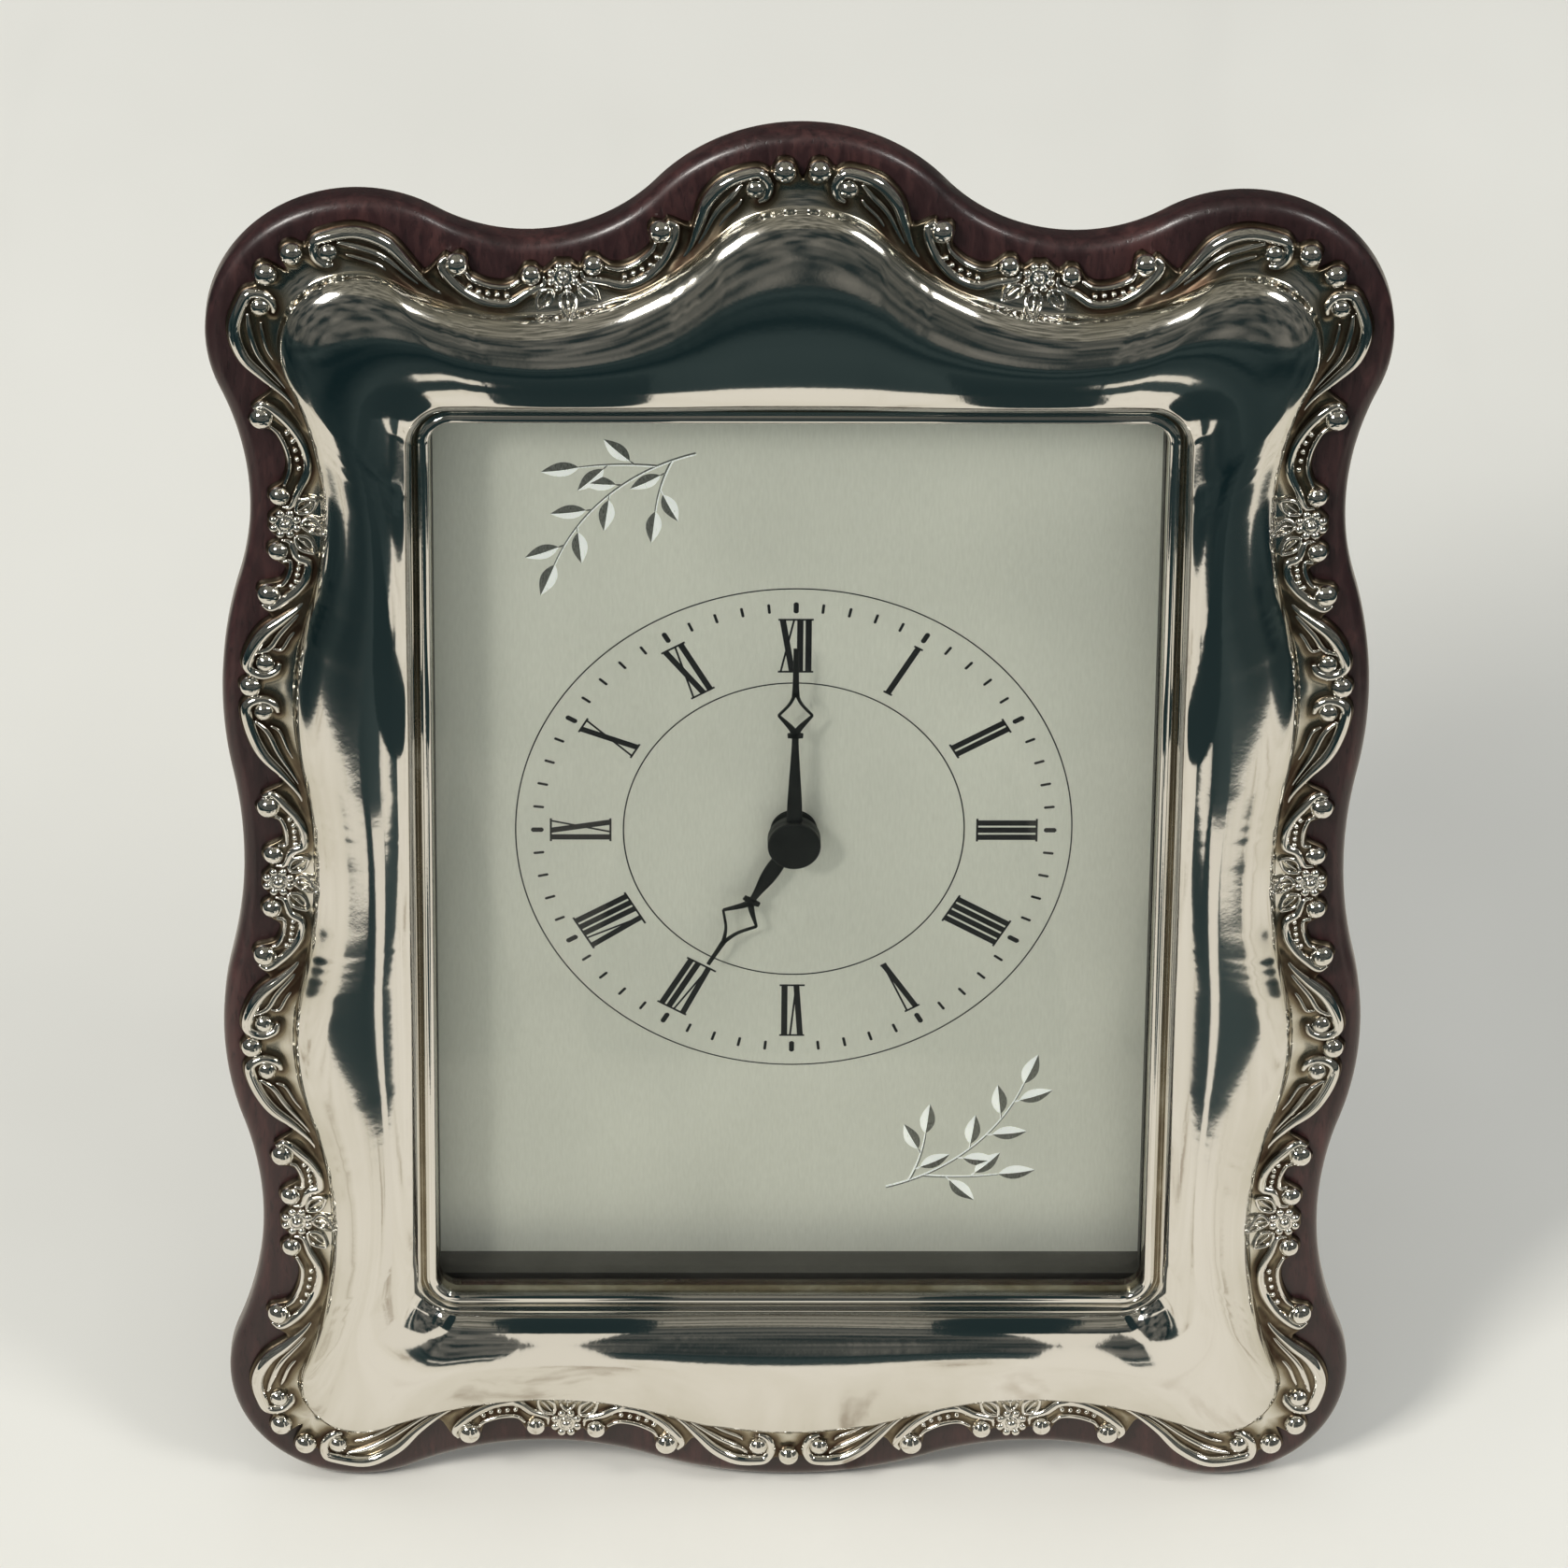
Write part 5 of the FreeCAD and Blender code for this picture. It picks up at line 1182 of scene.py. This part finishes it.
def rectangle(x0, x1, y0, y1, height):
    return [(x0, y0, height), (x1, y0, height), (x1, y1, height), (x0, y1, height)]


def rounded(x0, x1, y0, y1, height, roundness):
    """Rectangle with round corners; roundness 1 makes it an ellipse."""
    points, corners = [], 48
    for bearing in full_turn(corners):
        across, along = math.cos(bearing), math.sin(bearing)
        points.append(((x0 + x1) / 2 + (x1 - x0) / 2 * math.copysign(abs(across) ** roundness, across),
                       (y0 + y1) / 2 + (y1 - y0) / 2 * math.copysign(abs(along) ** roundness, along),
                       height))
    return points


floor_finish = Finish("pale_floor", Roughness=0.8)
floor_tone = floor_finish.noise(floor_finish.place, 9, 3)
floor_dark, floor_light = (0.70, 0.69, 0.64), (0.74, 0.73, 0.68)
floor_finish.set(Base_Color=floor_finish.ramp(floor_tone, ((0.3, floor_dark), (0.7, floor_light))))
floor_size = 6.0
floor_corners = rectangle(-floor_size, floor_size, -floor_size, floor_size, 0)
studio_sheet("floor", floor_corners, floor_finish.material)

# What the metal mirrors: a dim room, a pale table with faint veins that run away from the viewer,
# and cards over it
room_dark = glow("room_dark", ((0.35, (0.006, 0.016, 0.018)), (0.75, (0.045, 0.065, 0.064))), 1.6)
room_grey = glow("room_grey", ((0.35, (0.016, 0.026, 0.027)), (0.75, (0.20, 0.19, 0.165))), 2.1)
room_pale = glow("room_pale", ((0.35, (0.72, 0.67, 0.57)), (0.75, (0.82, 0.77, 0.67))), 4)
room_ceiling = glow("room_ceiling", ((0.35, (0.06, 0.062, 0.05)), (0.75, (0.44, 0.41, 0.34))), 3.2)
vein_stops = ((0.34, (0.42, 0.36, 0.28)), (0.42, (0.73, 0.68, 0.57)), (0.62, (0.80, 0.75, 0.65)),
              (0.72, (0.64, 0.58, 0.48)))
table_grain = glow("table_seen", vein_stops, 34, 6, 0.62, 0.9, stretch=(1, 0.12, 1))

# Level cards as (name, left, right, near, far, height, material, roundness or none)
table_height, card_height, patch_height = 0.0015, 0.002, 0.004
dial_shade = (-0.235, -0.015, 0.146, room_dark, 0.55)
table_front, table_side, room_reach = -0.44, 0.37, 3.4
level_cards = (
    ("table_seen", -table_side, table_side, table_front, room_reach, table_height, table_grain),
    ("room_front", -room_reach, room_reach, -room_reach, table_front, card_height, room_dark),
    ("room_left", -room_reach, -table_side, table_front, room_reach, card_height, room_dark),
    ("room_right", table_side, room_reach, table_front, room_reach, card_height, room_dark),
    ("shade_on_table", -0.195, 0.215, -0.358, -0.238, card_height, room_dark, 0.45),
    ("shade_in_middle", -0.068, 0.072, table_front, -0.352, card_height, room_dark),
    ("shade_before_dial", -0.060, -0.020, *dial_shade),
    ("shade_before_dial", 0.026, 0.062, *dial_shade),
    ("pale_patch", -0.50, -0.44, 0.0, 0.05, patch_height, room_pale),
)
for name, x0, x1, y0, y1, height, material, *roundness in level_cards:
    outline = rounded if roundness else rectangle
    mirrored_sheet(name, outline(x0, x1, y0, y1, height, *roundness), material)

# Upright pale strips, narrowest at their waist
strip_y, strip_foot, strip_waist, strip_top, strip_flare = -0.125, 0.003, 0.052, 0.105, 0.011
for name, x0, x1 in (("pale_strip_left", -0.049, -0.038), ("pale_strip_right", 0.054, 0.063)):
    points = [(x0 - strip_flare, strip_y, strip_foot), (x1 + strip_flare, strip_y, strip_foot),
              (x1, strip_y, strip_waist), (x1 + strip_flare, strip_y, strip_top),
              (x0 - strip_flare, strip_y, strip_top), (x0, strip_y, strip_waist)]
    mirrored_sheet(name, points, room_pale)


def room_shell():
    """Dim dome of a room round the table with a lighter ceiling."""
    points, rings, sides, ceiling_ring, lift = [], 18, 48, 10, 0.001
    for turn in even_steps(math.pi / 2, rings):
        radius, height = room_reach * math.cos(turn), room_reach * math.sin(turn) + lift
        points += [(*beside(0, 0, radius, bearing), height) for bearing in full_turn(sides)]
    faces = grid_faces(rings + 1, sides)
    shell = mirrored_sheet("room_shell", points, room_grey, room_ceiling, faces=faces)
    for index, polygon in enumerate(shell.data.polygons):
        polygon.material_index = int(index // sides >= ceiling_ring)


room_shell()

scene = bpy.context.scene
scene.view_settings.view_transform = "Standard"

world = bpy.data.worlds.new("studio")
scene.world = world
world.use_nodes = True
background = world.node_tree.nodes["Background"]
background.inputs["Color"].default_value = (0.93, 0.97, 1.0, 1)
background.inputs["Strength"].default_value = 0.55


def softbox(name, place, size, power, colour):
    """Square lamp aimed at the middle of the face."""
    light = bpy.data.lights.new(name, "AREA")
    light.shape = "RECTANGLE"
    light.size = size
    light.size_y = size
    light.energy = power
    light.color = colour
    lamp = add_object(name, light)
    lamp.location = place
    lamp.rotation_mode = "QUATERNION"
    lamp.rotation_quaternion = (face_origin - Vector(place)).to_track_quat("-Z", "Y")


softbox("key", place=(-1.3, -1.1, 1.7), size=0.6, power=36, colour=(1.0, 0.97, 0.92))
softbox("side", place=(1.4, -0.6, 1.7), size=0.5, power=12, colour=(1.0, 0.98, 0.95))

camera_distance = 1.757
camera_azimuth = math.radians(-1.0)
camera_rise = math.radians(31.0)
camera_roll = math.radians(0.58)
aim_x, aim_z = -2.0, 16.0
aim = Vector(to_world([(aim_x, 0, aim_z)])[0])
away = (rightward * (math.sin(camera_azimuth) * math.cos(camera_rise))
        - inward * (math.cos(camera_azimuth) * math.cos(camera_rise)) + upward * math.sin(camera_rise))
lens = bpy.data.cameras.new("camera")
lens.lens = 232.2
lens.sensor_width = 36.0
lens.clip_start, lens.clip_end = 0.05, 30
camera = add_object("camera", lens)
camera.location = aim + away * camera_distance
camera_right = (-away).cross(upward).normalized()
camera_up = camera_right.cross(-away)
tilted_right = camera_right * math.cos(camera_roll) + camera_up * math.sin(camera_roll)
tilted_up = camera_up * math.cos(camera_roll) - camera_right * math.sin(camera_roll)
camera.rotation_mode = "QUATERNION"
camera.rotation_quaternion = Matrix((tilted_right, tilted_up, away)).transposed().to_quaternion()
scene.camera = camera
